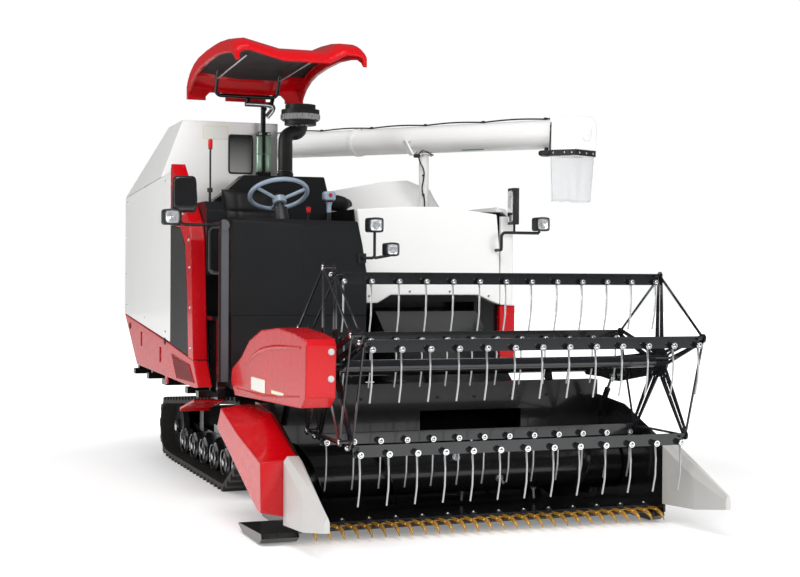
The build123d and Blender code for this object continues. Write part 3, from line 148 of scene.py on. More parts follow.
floor_mesh.materials.append(floor_finish)

seen_light, matt_light, mirrored_light = 1.0, 0.5, 0.10
world = bpy.data.worlds.new("studio")
bpy.context.scene.world = world
world.use_nodes = True
sky = world.node_tree
sky_rays = add_node(sky, "ShaderNodeLightPath")
looked_at = add_node(sky, "ShaderNodeMath", operation="MAXIMUM")
sky.links.new(sky_rays.outputs["Is Camera Ray"], looked_at.inputs[0])
sky.links.new(sky_rays.outputs["Is Transmission Ray"], looked_at.inputs[1])
unseen_light = ramped(sky, sky_rays.outputs["Is Glossy Ray"], matt_light, mirrored_light)
sky_light = ramped(sky, looked_at.outputs["Value"], unseen_light, seen_light)
sky.links.new(sky_light, sky.nodes["Background"].inputs["Strength"])
sky.nodes["Background"].inputs["Color"].default_value = (1.0, 1.0, 1.0, 1)
bpy.context.scene.view_settings.view_transform = "Standard"
print("world lights with", matt_light, "and is mirrored with", mirrored_light)

# %% [markdown]
# ## Lamps
# One broad lamp hangs overhead, and a tall strip stands beyond the machine's right side for the long
# highlights. A fill comes from the front. It lights matt colour only, because its reflection would lie as a
# pale veil on every red and black face that looks forward.

# %% Lamps
def lamp_panel(name, place, target, width, height, power, mirrored=True):
    """A rectangular lamp at place, facing target, with its size in metres and power in watts. One that
    isn't mirrored lights matt colour only."""
    data = bpy.data.lights.new(name, "AREA")
    data.shape = "RECTANGLE"
    data.size = width
    data.size_y = height
    data.energy = power
    lamp = bpy.data.objects.new(name, data)
    lamp.location = place
    lamp.rotation_euler = (Vector(target) - Vector(place)).to_track_quat("-Z", "Y").to_euler()
    lamp.visible_glossy = mirrored
    bpy.context.scene.collection.objects.link(lamp)
    print(name, power, "W")


lamp_panel("key_overhead", (-2.5, -4.5, 7.5), (0, 0, 0.6), 5, 4, 400)
lamp_panel("strip_left", (-7.5, 0.5, 3.0), (-0.5, 0, 1.2), 1.4, 6, 190)
lamp_panel("fill_front", (3.0, -9.0, 3.2), (0, 0, 1.0), 4, 2.5, 330, mirrored=False)

# %% [markdown]
# ## Finishes
# Every finish is one shader fed by noise in object space, so it doesn't depend on unwrapping. Paint gets a
# clear coat over a colour that drifts a little. Moulded plastic gets a fine grain as bump. Metals get
# streaks in their roughness. Where a finish is given dust, it lies on what stands low on the machine.

# %% Finish builders
cloud_scale, smudge_scale, speck_scale = 2.3, 19.0, 34.0
coat_rough = 0.06
dust_colour = (0.16, 0.14, 0.11)
dust_top = 0.9


def noise_node(tree, place, scale, detail=3.0):
    """Noise over object coordinates."""
    noise = add_node(tree, "ShaderNodeTexNoise", Scale=scale, Detail=detail)
    tree.links.new(place.outputs["Object"], noise.inputs["Vector"])
    return noise


def two_tone(tree, factor, low, high, start=0.3, end=0.7):
    """A colour ramp from low to high between two places of a factor."""
    ramp = add_node(tree, "ShaderNodeValToRGB")
    ramp.color_ramp.elements[0].position = start
    ramp.color_ramp.elements[0].color = (*low, 1)
    ramp.color_ramp.elements[1].position = end
    ramp.color_ramp.elements[1].color = (*high, 1)
    tree.links.new(factor, ramp.inputs["Fac"])
    return ramp.outputs["Color"]


def axis_step(tree, place, axis, start, end):
    """0 below start and 1 above end along an object axis, in metres."""
    split = add_node(tree, "ShaderNodeSeparateXYZ")
    tree.links.new(place.outputs["Object"], split.inputs["Vector"])
    return ramped(tree, split.outputs[axis], 0.0, 1.0, start, end)


def mixed(tree, factor, colour, other):
    """A colour blended with another by a factor; each may be a socket or a colour."""
    mix = add_node(tree, "ShaderNodeMix", data_type="RGBA")
    tree.links.new(factor, mix.inputs["Factor"])
    for socket, value in ((mix.inputs[6], colour), (mix.inputs[7], other)):
        if isinstance(value, tuple):
            socket.default_value = (*value, 1)
        else:
            tree.links.new(value, socket)
    return mix.outputs[2]


def dusted(tree, place, colour, dust):
    """A colour under specks of dust, which thin out from the ground to the dust's top."""
    low = axis_step(tree, place, "Z", dust_top, 0.0)
    specks = noise_node(tree, place, speck_scale, 6.0)
    amount = add_node(tree, "ShaderNodeMath", operation="MULTIPLY")
    tree.links.new(low, amount.inputs[0])
    tree.links.new(specks.outputs["Fac"], amount.inputs[1])
    scaled = add_node(tree, "ShaderNodeMath", operation="MULTIPLY")
    scaled.inputs[1].default_value = dust
    tree.links.new(amount.outputs["Value"], scaled.inputs[0])
    return mixed(tree, scaled.outputs["Value"], colour, dust_colour)


def finish(name, colour, rough, metal=0.0, coat=0.0, grain=0.0, grain_scale=900.0, drift=0.06, dust=0.0,
           rough_drift=0.06, specular=0.5, step=None, other=None, edge=0.0):
    """Colour drifts by noise, roughness by a second noise and bump by a third. Where a step (axis, start,
    end) is given, the colour turns to the other one along it. An edge radius rounds the shading of sharp
    corners, as pressed sheet has them."""
    material, tree, shader = new_material(name)
    place = add_node(tree, "ShaderNodeTexCoord")
    clouds = noise_node(tree, place, cloud_scale)
    darker = tuple(channel * (1 - drift) for channel in colour)
    lighter = tuple(min(1, channel * (1 + drift)) for channel in colour)
    colour_out = two_tone(tree, clouds.outputs["Fac"], darker, lighter)
    if step:
        colour_out = mixed(tree, axis_step(tree, place, *step), colour_out, other)
    if dust:
        colour_out = dusted(tree, place, colour_out, dust)
    tree.links.new(colour_out, shader.inputs["Base Color"])
    smudges = noise_node(tree, place, smudge_scale, 4.0)
    smoothest, roughest = max(0.02, rough - rough_drift), min(1, rough + rough_drift)
    tree.links.new(ramped(tree, smudges.outputs["Fac"], smoothest, roughest), shader.inputs["Roughness"])
    shader.inputs["Metallic"].default_value = metal
    shader.inputs["Coat Weight"].default_value = coat
    shader.inputs["Coat Roughness"].default_value = coat_rough
    shader.inputs["Specular IOR Level"].default_value = specular
    fine = noise_node(tree, place, grain_scale, 2.0)
    bump = add_node(tree, "ShaderNodeBump", Strength=grain, Distance=0.001)
    tree.links.new(fine.outputs["Fac"], bump.inputs["Height"])
    tree.links.new(bump.outputs["Normal"], shader.inputs["Normal"])
    if edge:
        rounded = add_node(tree, "ShaderNodeBevel", samples=4, Radius=edge)
        tree.links.new(rounded.outputs["Normal"], bump.inputs["Normal"])
        tree.links.new(rounded.outputs["Normal"], shader.inputs["Coat Normal"])
    return material


# %% [markdown]
# ## The machine's paints and plastics
# The covers are pressed sheet in red and white enamel, and the console and engine cover are charcoal
# panels. The working parts are black under a coat that gets thicker on the reel. The grab rails' node holds
# a grey post and, further out, a black rail, so its finish turns from one to the other along X.

# %% Paints and plastics
red_paint = finish("red_paint", (0.52, 0.001, 0.005), 0.26, coat=0.35, specular=0.3, drift=0.05, grain=0.05,
                   grain_scale=260, edge=0.014)
red_plastic = finish("red_plastic", (0.56, 0.001, 0.005), 0.24, coat=0.35, specular=0.3, drift=0.05,
                     grain=0.06, grain_scale=500, edge=0.020)
white_paint = finish("white_paint", (0.84, 0.84, 0.83), 0.32, coat=0.4, drift=0.012, grain=0.04,
                     grain_scale=260, edge=0.010)
white_plastic = finish("white_plastic", (0.52, 0.515, 0.495), 0.45, drift=0.03, grain=0.25, grain_scale=800)
charcoal_panel = finish("charcoal_panel", (0.0105, 0.0113, 0.0125), 0.36, specular=0.3, grain=0.20,
                        drift=0.10, coat=0.08, edge=0.010)
black_paint = finish("black_paint", (0.0045, 0.0045, 0.005), 0.22, drift=0.2, coat=0.3, dust=0.04,
                     specular=0.4)
black_plastic = finish("black_plastic", (0.011, 0.011, 0.012), 0.46, grain=0.4, grain_scale=1400, drift=0.15)
screen_black = finish("screen_black", (0.013, 0.012, 0.012), 0.5, grain=0.5, grain_scale=1600, drift=0.15)
reel_black = finish("reel_black", (0.010, 0.011, 0.013), 0.16, drift=0.25, coat=0.6)
# black for the left cover's seam, a dark joint, and for the floors of the grip recesses, which are painted
# shade
seam_and_shade_black = finish("seam_and_shade_black", (0.006, 0.006, 0.006), 0.7, drift=0.2, grain=0.3)
post_grey = finish("post_grey", (0.085, 0.090, 0.100), 0.36, drift=0.05, coat=0.2, grain=0.1,
                   step=("X", -1.024, -1.03), other=(0.008, 0.008, 0.009))
wheel_blue = finish("wheel_blue", (0.23, 0.29, 0.36), 0.34, drift=0.08, coat=0.25, grain=0.08)
seat_leather = finish("seat_leather", (0.010, 0.010, 0.011), 0.50, grain=0.7, grain_scale=700, drift=0.2)
belt_rubber = finish("belt_rubber", (0.013, 0.0125, 0.012), 0.62, grain=0.6, grain_scale=420, drift=0.25,
                     dust=0.22, specular=0.35)
print("paints, plastics and rubber", len(bpy.data.materials))

# %% [markdown]
# ## The machine's metals
# Bright metal is kept for wires, rams and bolts. A metal has hardly a colour of its own and shows the room
# instead, so what tells one from another is its roughness: low on chrome, higher on drawn wire. Wheels that
# run in soil get a dark one with strong drift. Plated parts and cast iron aren't wholly metallic, because
# their skin scatters light as paint does.

# %% Metals
bright_steel = finish("bright_steel", (0.62, 0.63, 0.64), 0.22, metal=1, drift=0.08, rough_drift=0.1)
lamp_mirror = finish("lamp_mirror", (0.30, 0.31, 0.32), 0.16, metal=1, drift=0.08, rough_drift=0.1)
chrome_bright = finish("chrome_bright", (0.85, 0.86, 0.87), 0.10, metal=1, drift=0.04, rough_drift=0.05)
wire_steel = finish("wire_steel", (0.50, 0.51, 0.52), 0.30, metal=0.75, drift=0.1, rough_drift=0.1)
worn_steel = finish("worn_steel", (0.05, 0.05, 0.053), 0.30, metal=0.6, drift=0.3, rough_drift=0.12)
guard_gold = finish("guard_gold", (0.62, 0.34, 0.06), 0.36, metal=0.55, drift=0.3, rough_drift=0.12)
zinc_green = finish("zinc_green", (0.36, 0.52, 0.40), 0.30, metal=0.65, drift=0.25)
engine_grey = finish("engine_grey", (0.05, 0.05, 0.05), 0.6, metal=0.4, grain=0.6, grain_scale=300,
                     drift=0.3)
print("finishes", len(bpy.data.materials))

# %% [markdown]
# ## Clear sheet, dark glass and net
# The spout's curtain is soft clear vinyl, which shows white streaks where it has been folded. The tank's
# window is coloured pale at its foot and nearly black at its top: painted shade of the tank's dark inside,
# deepening upwards. The roof is lined with a black net, whose holes are a voronoi pattern in the bump and
# the colour; the dark of the holes is painted shade of what lies behind. All three are cheaper as shaders
# than as geometry.

# %% Clear, glazed and netted finishes
def clear_finish(name, tint, rough, weight, streak):
    """A clear sheet: mostly transmission, with folds as long noise stretched along Z."""
    material, tree, shader = new_material(name)
    place = add_node(tree, "ShaderNodeTexCoord")
    stretch = add_node(tree, "ShaderNodeMapping")
    stretch.inputs["Scale"].default_value = (1, 1, 0.12)
    tree.links.new(place.outputs["Object"], stretch.inputs["Vector"])
    folds = add_node(tree, "ShaderNodeTexNoise", Scale=9.0, Detail=2.0)
    tree.links.new(stretch.outputs["Vector"], folds.inputs["Vector"])
    tint_out = two_tone(tree, folds.outputs["Fac"], tint, (0.97, 0.97, 0.97), 0.4, 0.75)
    tree.links.new(tint_out, shader.inputs["Base Color"])
    rough_out = ramped(tree, folds.outputs["Fac"], max(0.01, rough - 0.05), rough + streak)
    tree.links.new(rough_out, shader.inputs["Roughness"])
    shader.inputs["Transmission Weight"].default_value = weight
    shader.inputs["IOR"].default_value = 1.12
    bump = add_node(tree, "ShaderNodeBump", Strength=0.5, Distance=0.004)
    tree.links.new(folds.outputs["Fac"], bump.inputs["Height"])
    tree.links.new(bump.outputs["Normal"], shader.inputs["Normal"])
    return material


def window_finish(name, pane_low, pane_high):
    """Glass whose colour runs from pale at the foot of the pane to nearly black at its top: painted shade.
    """
    material, tree, shader = new_material(name)
    place = add_node(tree, "ShaderNodeTexCoord")
    dirt = noise_node(tree, place, 30.0, 5.0)
    # painted shade: the pane darkens towards its top
    shade = axis_step(tree, place, "Z", pane_low, pane_high)
    tree.links.new(mixed(tree, shade, (0.36, 0.36, 0.36), (0.02, 0.02, 0.02)), shader.inputs["Base Color"])
    tree.links.new(ramped(tree, dirt.outputs["Fac"], 0.08, 0.3), shader.inputs["Roughness"])
    shader.inputs["Coat Weight"].default_value = 0.6
    return material


def net_finish(name, thread, hole_shade, scale):
    """A net: cells of a voronoi pattern, dark in the holes as painted shade of what lies behind, and paler
    on the threads, which stand up as bump."""
    material, tree, shader = new_material(name)
    place = add_node(tree, "ShaderNodeTexCoord")
    cells = add_node(tree, "ShaderNodeTexVoronoi", feature="DISTANCE_TO_EDGE", Scale=scale, Randomness=0.1)
    tree.links.new(place.outputs["Object"], cells.inputs["Vector"])
    # the holes' dark colour is painted shade of what lies behind the net
    colour_out = two_tone(tree, cells.outputs["Distance"], thread, hole_shade, 0.08, 0.2)
    tree.links.new(colour_out, shader.inputs["Base Color"])
    shader.inputs["Roughness"].default_value = 0.6
    bump = add_node(tree, "ShaderNodeBump", Strength=0.5, Distance=0.002, invert=True)
    tree.links.new(cells.outputs["Distance"], bump.inputs["Height"])
    tree.links.new(bump.outputs["Normal"], shader.inputs["Normal"])
    return material


curtain_clear = clear_finish("curtain_clear", (0.88, 0.89, 0.90), 0.10, 0.82, 0.15)
lens_glass = clear_finish("lens_glass", (0.93, 0.94, 0.95), 0.03, 0.9, 0.05)
bowl_clear = clear_finish("bowl_clear", (0.70, 0.72, 0.73), 0.12, 0.55, 0.1)
# the tank's window pane is painted shade that deepens upwards
window_painted_shade = window_finish("window_painted_shade", 2.10, 2.35)
# the dark colour in each net's holes is painted shade
roof_net = net_finish("roof_net", (0.020, 0.020, 0.021), (0.004, 0.004, 0.004), 90.0)
red_grille = net_finish("red_grille", (0.26, 0.004, 0.008), (0.05, 0.001, 0.002), 150.0)
print("finishes", len(bpy.data.materials))

# %% [markdown]
# ## Dress the CAD nodes
# Each node whose shape is already right only gets its finish. A bat carries its bar and its tines in one
# solid, so its finish turns from black to bright wire at the height where the tines leave the bar.

# %% Finish of each node
reel_y, reel_z, reel_r = -1.8, 0.925, 0.485
bat_angles = np.radians(72 * np.arange(5))
bat_places = [(reel_y - reel_r * math.sin(angle), reel_z + reel_r * math.cos(angle)) for angle in bat_angles]
bar_foot, wire_top = 0.053, 0.060
node_finish = {
    red_paint: ["lower_cover", "front_frame", "left_lower_cover", "header_side_cover", "reel_drive_cover",
                "step"],
    red_plastic: ["canopy"],
    white_paint: ["side_cover", "tank", "front_cover", "left_cover", "drum_hood", "straw_hood",
                  "unload_elbow", "unload_pipe", "cradle"],
    white_plastic: ["crop_dividers"],
    charcoal_panel: ["console", "engine_cover", "side_console"],
    black_paint: ["chassis", "track_frames", "platform", "canopy_frame", "feeder_house", "header_body",
                  "reel_arms", "header_auger", "upright_auger", "thresher", "lift_barrel",
                  "reel_barrel_right", "reel_barrel_left"],
    black_plastic: ["mirrors", "front_lamps", "air_cleaner", "steering_column", "control_levers"],
    screen_black: ["screen_door"],
    post_grey: ["grab_rails"],
    belt_rubber: ["track_right", "track_left"],
    worn_steel: ["track_wheels", "knife"],
    reel_black: ["reel", "reel_ring"],
    bright_steel: ["lift_ram", "reel_ram_right", "reel_ram_left"],
    guard_gold: ["knife_guards"],
    seat_leather: ["seat"],
    wheel_blue: ["steering_wheel"],
    engine_grey: ["engine"],
    curtain_clear: ["spout_curtain"],
    window_painted_shade: ["tank_window"],
}
for number, (y_bat, z_bat) in enumerate(bat_places, 1):
    bat_finish = finish(f"bat_black_{number}", (0.010, 0.011, 0.013), 0.18, drift=0.25, coat=0.5,
                        step=("Z", z_bat - bar_foot, z_bat - wire_top), other=(0.42, 0.43, 0.44))
    node_finish[bat_finish] = [f"bat_{number}"]
for surface, names in node_finish.items():
    for name in names:
        mesh = nodes[name].data
        mesh.materials.clear()
        mesh.materials.append(surface)
print("undressed", sorted(set(nodes) - {name for names in node_finish.values() for name in names}))

# %% [markdown]
# ## Shapes as arrays
# All the fittings are surfaces over a grid of two parameters. A tube is a circle carried along a path, a
# turned piece is a profile carried round an axis, and a rounded block is a superellipsoid. Each returns its
# points and its four-cornered faces, so that many copies can be joined into one mesh before Blender sees
# them.

# %% Grid shapes
def grid_faces(rows, columns, wrap_rows=False):
    """Faces of a grid numbered row by row, closed in each row: a point, the next in its row, and the two
    after."""
    i = np.arange(rows if wrap_rows else rows - 1)[:, None]
    j = np.arange(columns)[None, :]
    after = (j + 1) % columns
    below = (i + 1) % rows
    return np.stack([i * columns + j, i * columns + after, below * columns + after, below * columns + j],
                    -1).reshape(-1, 4)


def sheet_faces(rows, columns):
    """Faces of a grid that is open both ways, numbered row by row."""
    start = np.arange(rows - 1)[:, None] * columns + np.arange(columns - 1)[None, :]
    return np.stack([start, start + 1, start + columns + 1, start + columns], -1).reshape(-1, 4)


def cap_faces(start, columns):
    """A ladder of four-cornered faces that closes a ring of an even number of points."""
    k = np.arange(columns // 2 - 1)
    return start + np.stack([k, k + 1, columns - 2 - k, columns - 1 - k], -1)


def closed_faces(rows, columns):
    """Faces of a closed body: a grid of rings, with a ladder over its first ring and over its last."""
    last_ring = (rows - 1) * columns
    return np.concatenate([grid_faces(rows, columns), cap_faces(0, columns), cap_faces(last_ring, columns)])


def full_turn(count):
    """That many angles at equal steps round a full turn, in radians."""
    return np.linspace(0, 2 * np.pi, count, endpoint=False)


def signed_power(value, power):
    """The value's sign times its size to that power: a small power squares a circle's sine and cosine."""
    return np.sign(value) * np.abs(value) ** power


def frame_along(path):
    """Two normals at each point of a path, across its direction and at a right angle to each other."""
    forward = np.gradient(path, axis=0)
    forward /= np.linalg.norm(forward, axis=1, keepdims=True)
    spread = np.abs(path[-1] - path[0])
    reference = np.eye(3)[int(np.argmin(np.abs(forward).mean(axis=0) + spread * 1e-6))]
    across = np.cross(forward, reference)
    across /= np.linalg.norm(across, axis=1, keepdims=True)
    return across, np.cross(forward, across)


def tube(path, radius, sides=12):
    """A circle of that radius carried along the path: point + radius (cos t across + sin t above)."""
    path = np.asarray(path, float)
    radius = np.broadcast_to(np.asarray(radius, float), len(path))[:, None, None]
    turn = full_turn(sides)[None, :, None]
    across, above = frame_along(path)
    ring = np.cos(turn) * across[:, None] + np.sin(turn) * above[:, None]
    return (path[:, None] + radius * ring).reshape(-1, 3), closed_faces(len(path), sides)


def turned(profile, centre, axis, sides=20):
    """A profile of (radius, height) carried round an axis through centre: its ends are closed."""
    profile = np.asarray(profile, float)
    axis = np.asarray(axis, float) / np.linalg.norm(axis)
    reference = np.eye(3)[int(np.argmin(np.abs(axis)))]
    across = np.cross(axis, reference)
    across /= np.linalg.norm(across)
    above = np.cross(axis, across)
    turn = full_turn(sides)[:, None]
    ring = np.cos(turn) * across + np.sin(turn) * above
    points = np.asarray(centre) + profile[:, :1, None] * ring + profile[:, 1:, None] * axis
    return points.reshape(-1, 3), closed_faces(len(profile), sides)


def rounded_block(centre, half, squareness=0.25, rows=14, columns=28, turn=None):
    """A superellipsoid: each axis is its half size times the signed power of cosine and sine products."""
    lift = np.linspace(-np.pi / 2 + 0.02, np.pi / 2 - 0.02, rows)[:, None]
    angle = full_turn(columns)[None, :]
    width = signed_power(np.cos(lift), squareness)
    points = np.stack([half[0] * width * signed_power(np.cos(angle), squareness),
                       half[1] * width * signed_power(np.sin(angle), squareness),
                       half[2] * signed_power(np.sin(lift), squareness) * np.ones_like(angle)], -1)
    points = points.reshape(-1, 3)
    if turn is not None:
        points = points @ np.asarray(turn, float).T
    return points + np.asarray(centre, float), closed_faces(rows, columns)


def copies(shape, places):
    """One shape repeated at many places, its faces numbered on from copy to copy."""
    points, faces = shape
    places = np.asarray(places, float)
    all_points = (points[None] + places[:, None]).reshape(-1, 3)
    all_faces = (faces[None] + (np.arange(len(places)) * len(points))[:, None, None]).reshape(-1, 4)
    return all_points, all_faces


def joined(*shapes):
    """Several shapes as one mesh's points and faces."""
    starts = np.cumsum([0] + [len(points) for points, _ in shapes[:-1]])
    return (np.concatenate([points for points, _ in shapes]),
            np.concatenate([faces + start for (_, faces), start in zip(shapes, starts)]))


def softened(path, rounds=3):
    """Corner cutting: each run keeps its middle half, so corners turn into curves and the ends stay."""
    path = np.asarray(path, float)
    for _ in range(rounds):
        near = 0.75 * path[:-1] + 0.25 * path[1:]
        far = 0.25 * path[:-1] + 0.75 * path[1:]
        path = np.concatenate([path[:1], np.stack([near, far], 1).reshape(-1, 3)[1:-1], path[-1:]])
    return path


def put(name, shape, body, surface, smooth=True):
    """Put a shape into Blender on a CAD body, its faces turned outwards."""
    points, faces = shape
    mesh = bpy.data.meshes.new(name)
    mesh.from_pydata(points.tolist(), [], faces.tolist())
    work = bmesh.new()
    work.from_mesh(mesh)
    bmesh.ops.remove_doubles(work, verts=work.verts, dist=1e-6)
    bmesh.ops.recalc_face_normals(work, faces=work.faces)
    work.to_mesh(mesh)
    work.free()
    mesh.materials.append(surface)
    if smooth:
        mesh.shade_smooth()
        mesh.set_sharp_from_angle(angle=math.radians(38))
    piece = bpy.data.objects.new(name, mesh)
    bpy.context.scene.collection.objects.link(piece)
    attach(piece, body)
    print(name, len(mesh.polygons), "faces")
    return piece


print("a block of 14 rings of 28 points has", len(closed_faces(14, 28)), "faces")

# %% [markdown]
# ## Loops, bolt heads and straps
# Three more shapes come again and again: a wire closed on itself, such as a lamp's rim or a coil, the round
# head of a bolt, and a flat strap round a squared loop. The loop is a superellipse, so one number turns a
# circle into a rounded box.

# %% Loops, bolt heads and straps
def hoop(path, radius, sides=10):
    """A circle carried round a closed path: the same as a tube, but joined to its own start."""
    path = np.asarray(path, float)
    forward = np.roll(path, -1, axis=0) - np.roll(path, 1, axis=0)
    forward /= np.linalg.norm(forward, axis=1, keepdims=True)
    normal = np.linalg.svd(path - path.mean(axis=0))[2][2]
    across = np.cross(forward, normal)
    across /= np.linalg.norm(across, axis=1, keepdims=True)
    turn = full_turn(sides)[None, :, None]
    points = path[:, None] + radius * (np.cos(turn) * across[:, None] + np.sin(turn) * normal)
    return points.reshape(-1, 3), grid_faces(len(path), sides, wrap_rows=True)


def loop_path(centre, u, v, half_u, half_v, squareness=1.0, count=36):
    """A closed curve: centre + half_u cos'(t) u + half_v sin'(t) v, where the primes are signed powers."""
    turn = full_turn(count)[:, None]
    cosine = signed_power(np.cos(turn), squareness)
    sine = signed_power(np.sin(turn), squareness)
    return (np.asarray(centre, float) + half_u * cosine * np.asarray(u, float)
            + half_v * sine * np.asarray(v, float))


def dome(radius, height, centre, axis, sides=12):
    """A round bolt head: a short cylinder under a quarter ellipse, turned round its axis."""
    lift = np.linspace(0, np.pi / 2 * 0.93, 5)
    crown = np.stack([radius * np.cos(lift), 0.35 * height + 0.65 * height * np.sin(lift)], 1)
    return turned(np.concatenate([[[radius, 0]], crown]), centre, axis, sides)


def band(centre, u, v, w, half_u, half_v, height, thick, squareness=0.1, count=48):
    """A flat strap round a squared loop: its section is a thin rectangle, as high along w as the strap is
    wide."""
    outer = loop_path(centre, u, v, half_u + thick, half_v + thick, squareness, count)
    inner = loop_path(centre, u, v, half_u, half_v, squareness, count)
    lift = np.asarray(w) * height / 2
    points = np.stack([outer - lift, outer + lift, inner + lift, inner - lift], 1).reshape(-1, 3)
    return points, grid_faces(count, 4, wrap_rows=True)


x_axis, y_axis, z_axis = np.eye(3)
print("a bolt head has", len(dome(0.01, 0.01, (0, 0, 0), z_axis)[1]), "faces")

# %% [markdown]
# ## The reel's tines and their clips
# Each spring tine is a wire wound once round its bolt and hanging from the bat, with a soft bend towards
# its tip. Thirteen hang on each of the five bats. One wire and one clip are computed, and copied along the
# bat as arrays, and each set rides on its own bat, which stays level while the reel turns. Round nuts close
# the bats' pivots at the spiders and at the crank of the ring spider.

# %% Tines, clips and pivot nuts
spider_right, spider_left = -0.720, 1.215
bat_end, crank_end = -0.742, -0.802
crank_y, crank_z = -0.04, 0.037
tine_count, tine_pitch, tine_middle = 13, 0.155, 0.2515
tine_x = tine_middle + (np.arange(tine_count) - (tine_count - 1) / 2) * tine_pitch
wire_line = softened([(0, -0.006, -0.030), (0, -0.014, -0.120), (0, -0.008, -0.215), (0, 0.019, -0.303)], 3)
wire = tube(wire_line, np.linspace(0.0050, 0.0042, len(wire_line)), 8)
bolt_z = -0.036
coil = hoop(loop_path((0, -0.026, bolt_z), x_axis, z_axis, 0.014, 0.014, count=16), 0.0038, 6)
clip_head = dome(0.011, 0.012, (0, -0.021, bolt_z), -y_axis)
washer_profile = [(0.004, 0), (0.017, 0), (0.017, 0.003), (0.004, 0.003)]
clip = joined(coil, clip_head, turned(washer_profile, (0, -0.0205, bolt_z), -y_axis, 12))
for number, (y_bat, z_bat) in enumerate(bat_places, 1):
    tine_places = np.outer(tine_x, x_axis) + [0, y_bat, z_bat]
    put(f"tine_wires_{number}", copies(wire, tine_places), f"bat_{number}", wire_steel)
    put(f"tine_clips_{number}", copies(clip, tine_places), f"bat_{number}", chrome_bright)
    nuts = joined(dome(0.016, 0.0055, (spider_left + 0.0081, y_bat, z_bat), x_axis),
                  dome(0.015, 0.014, (bat_end, y_bat, z_bat), -x_axis),
                  dome(0.017, 0.006, (crank_end, y_bat + crank_y, z_bat + crank_z), -x_axis))
    put(f"pivot_nuts_{number}", nuts, f"bat_{number}", bright_steel)

# %% [markdown]
# ## The spiders' rivets and spokes
# Each spider is five arms of pressed steel, riveted near the hub and near the rim. Along the middle of
# every arm runs a raised bead, which is made as a narrow strap round a stretched loop and set on both
# spiders.

# %% Spider rivets and spokes
rivet_radii = (0.14, 0.40)
rivet_x = spider_left + 0.0085
rivet_places = [(rivet_x, reel_y - radius * math.sin(angle), reel_z + radius * math.cos(angle))
                for angle in bat_angles for radius in rivet_radii]
rivets = [dome(0.007, 0.005, place, x_axis, 8) for place in rivet_places]
put("spider_rivets", joined(*rivets), "reel", bright_steel)

reel_centre = np.array([0, reel_y, reel_z])
spoke_middle, spoke_half = 0.275, 0.170
spokes = []
for x_spider in (spider_right, spider_left):
    for angle in bat_angles:
        out = np.array([0, -math.sin(angle), math.cos(angle)])
        aside = np.cross(out, x_axis)
        middle = reel_centre + x_axis * (x_spider + 0.004) + out * spoke_middle
        spokes.append(band(middle, out, aside, x_axis, spoke_half, 0.007, 0.0055, 0.015, 0.45, 40))
put("spider_spokes", joined(*spokes), "reel", reel_black, smooth=False)

# %% [markdown]
# ## The cutter's guard fingers
# In front of the knife stand cast fingers plated yellow, each drooping at its tip so that it slides over
# the soil. A finger is a tube whose radius shrinks along a falling curve. Behind every second finger a
# black clip with a bright bolt holds the knife down.

# %% Guard fingers and knife clips
guard_count, guard_pitch, guard_middle = 28, 0.0762, 0.2
finger_line = softened([(0, -1.700, 0.0715), (0, -1.755, 0.0715), (0, -1.795, 0.067), (0, -1.832, 0.050),
                        (0, -1.850, 0.026)], 2)
finger_share = np.linspace(0, 1, len(finger_line))
finger_radius = np.interp(finger_share, [0, 0.4, 0.75, 1], [0.0125, 0.0125, 0.0090, 0.0030])
finger_x = guard_middle + (np.arange(guard_count) - (guard_count - 1) / 2) * guard_pitch
fingers = copies(tube(finger_line, finger_radius, 10), np.outer(finger_x, x_axis))
put("guard_fingers", fingers, "header", guard_gold)
clip_y = -1.684
clip_places = np.outer(finger_x[::2] + guard_pitch / 2, x_axis)
clip_block = rounded_block((0, clip_y, 0.090), (0.017, 0.0105, 0.013), 0.2, 8, 16)
put("knife_clips", copies(clip_block, clip_places), "header", black_plastic)
clip_bolt = dome(0.009, 0.009, (0, clip_y, 0.102), z_axis)
put("knife_clip_bolts", copies(clip_bolt, clip_places), "header", chrome_bright)

# %% [markdown]
# ## The auger's fingers
# Retracting fingers in the middle of the auger pass through bright guide plates screwed to the drum. They
# stand on the drum at a fixed pitch and at angles of 140 degrees, one after another.

# %% Auger fingers
auger_y, auger_z, drum_radius = -1.2, 0.272, 0.1295
auger_finger_count, auger_first_x, auger_pitch, auger_step = 8, 0.09, 0.088, 140
guide_profile = [(0.009, 0), (0.024, 0), (0.024, 0.003), (0.009, 0.004)]
pin_profile = [(0.0105, 0), (0.0105, 0.014), (0.0085, 0.014), (0.0085, 0.060), (0.004, 0.0612)]
auger_parts = []
for index in range(auger_finger_count):
    angle = math.radians(auger_step * index)
    out = np.array([0, math.cos(angle), math.sin(angle)])
    side = np.cross(out, x_axis)
    foot = np.array([auger_first_x + index * auger_pitch, auger_y, auger_z]) + out * drum_radius
    auger_parts.append(turned(guide_profile, foot, out, 16))
    auger_parts.append(turned(pin_profile, foot, out, 12))
    auger_parts.append(dome(0.006, 0.004, foot + side * 0.017 + out * 0.003, out, 8))
put("auger_fingers", joined(*auger_parts), "header_auger", wire_steel)

# %% [markdown]
# ## The crawlers' rollers
# The rollers wear bright where they meet the belt's guides. A bright ring and a hub cap are put on the
# outer face of every roller of both crawlers, and larger caps on the hubs of the sprockets and idlers.

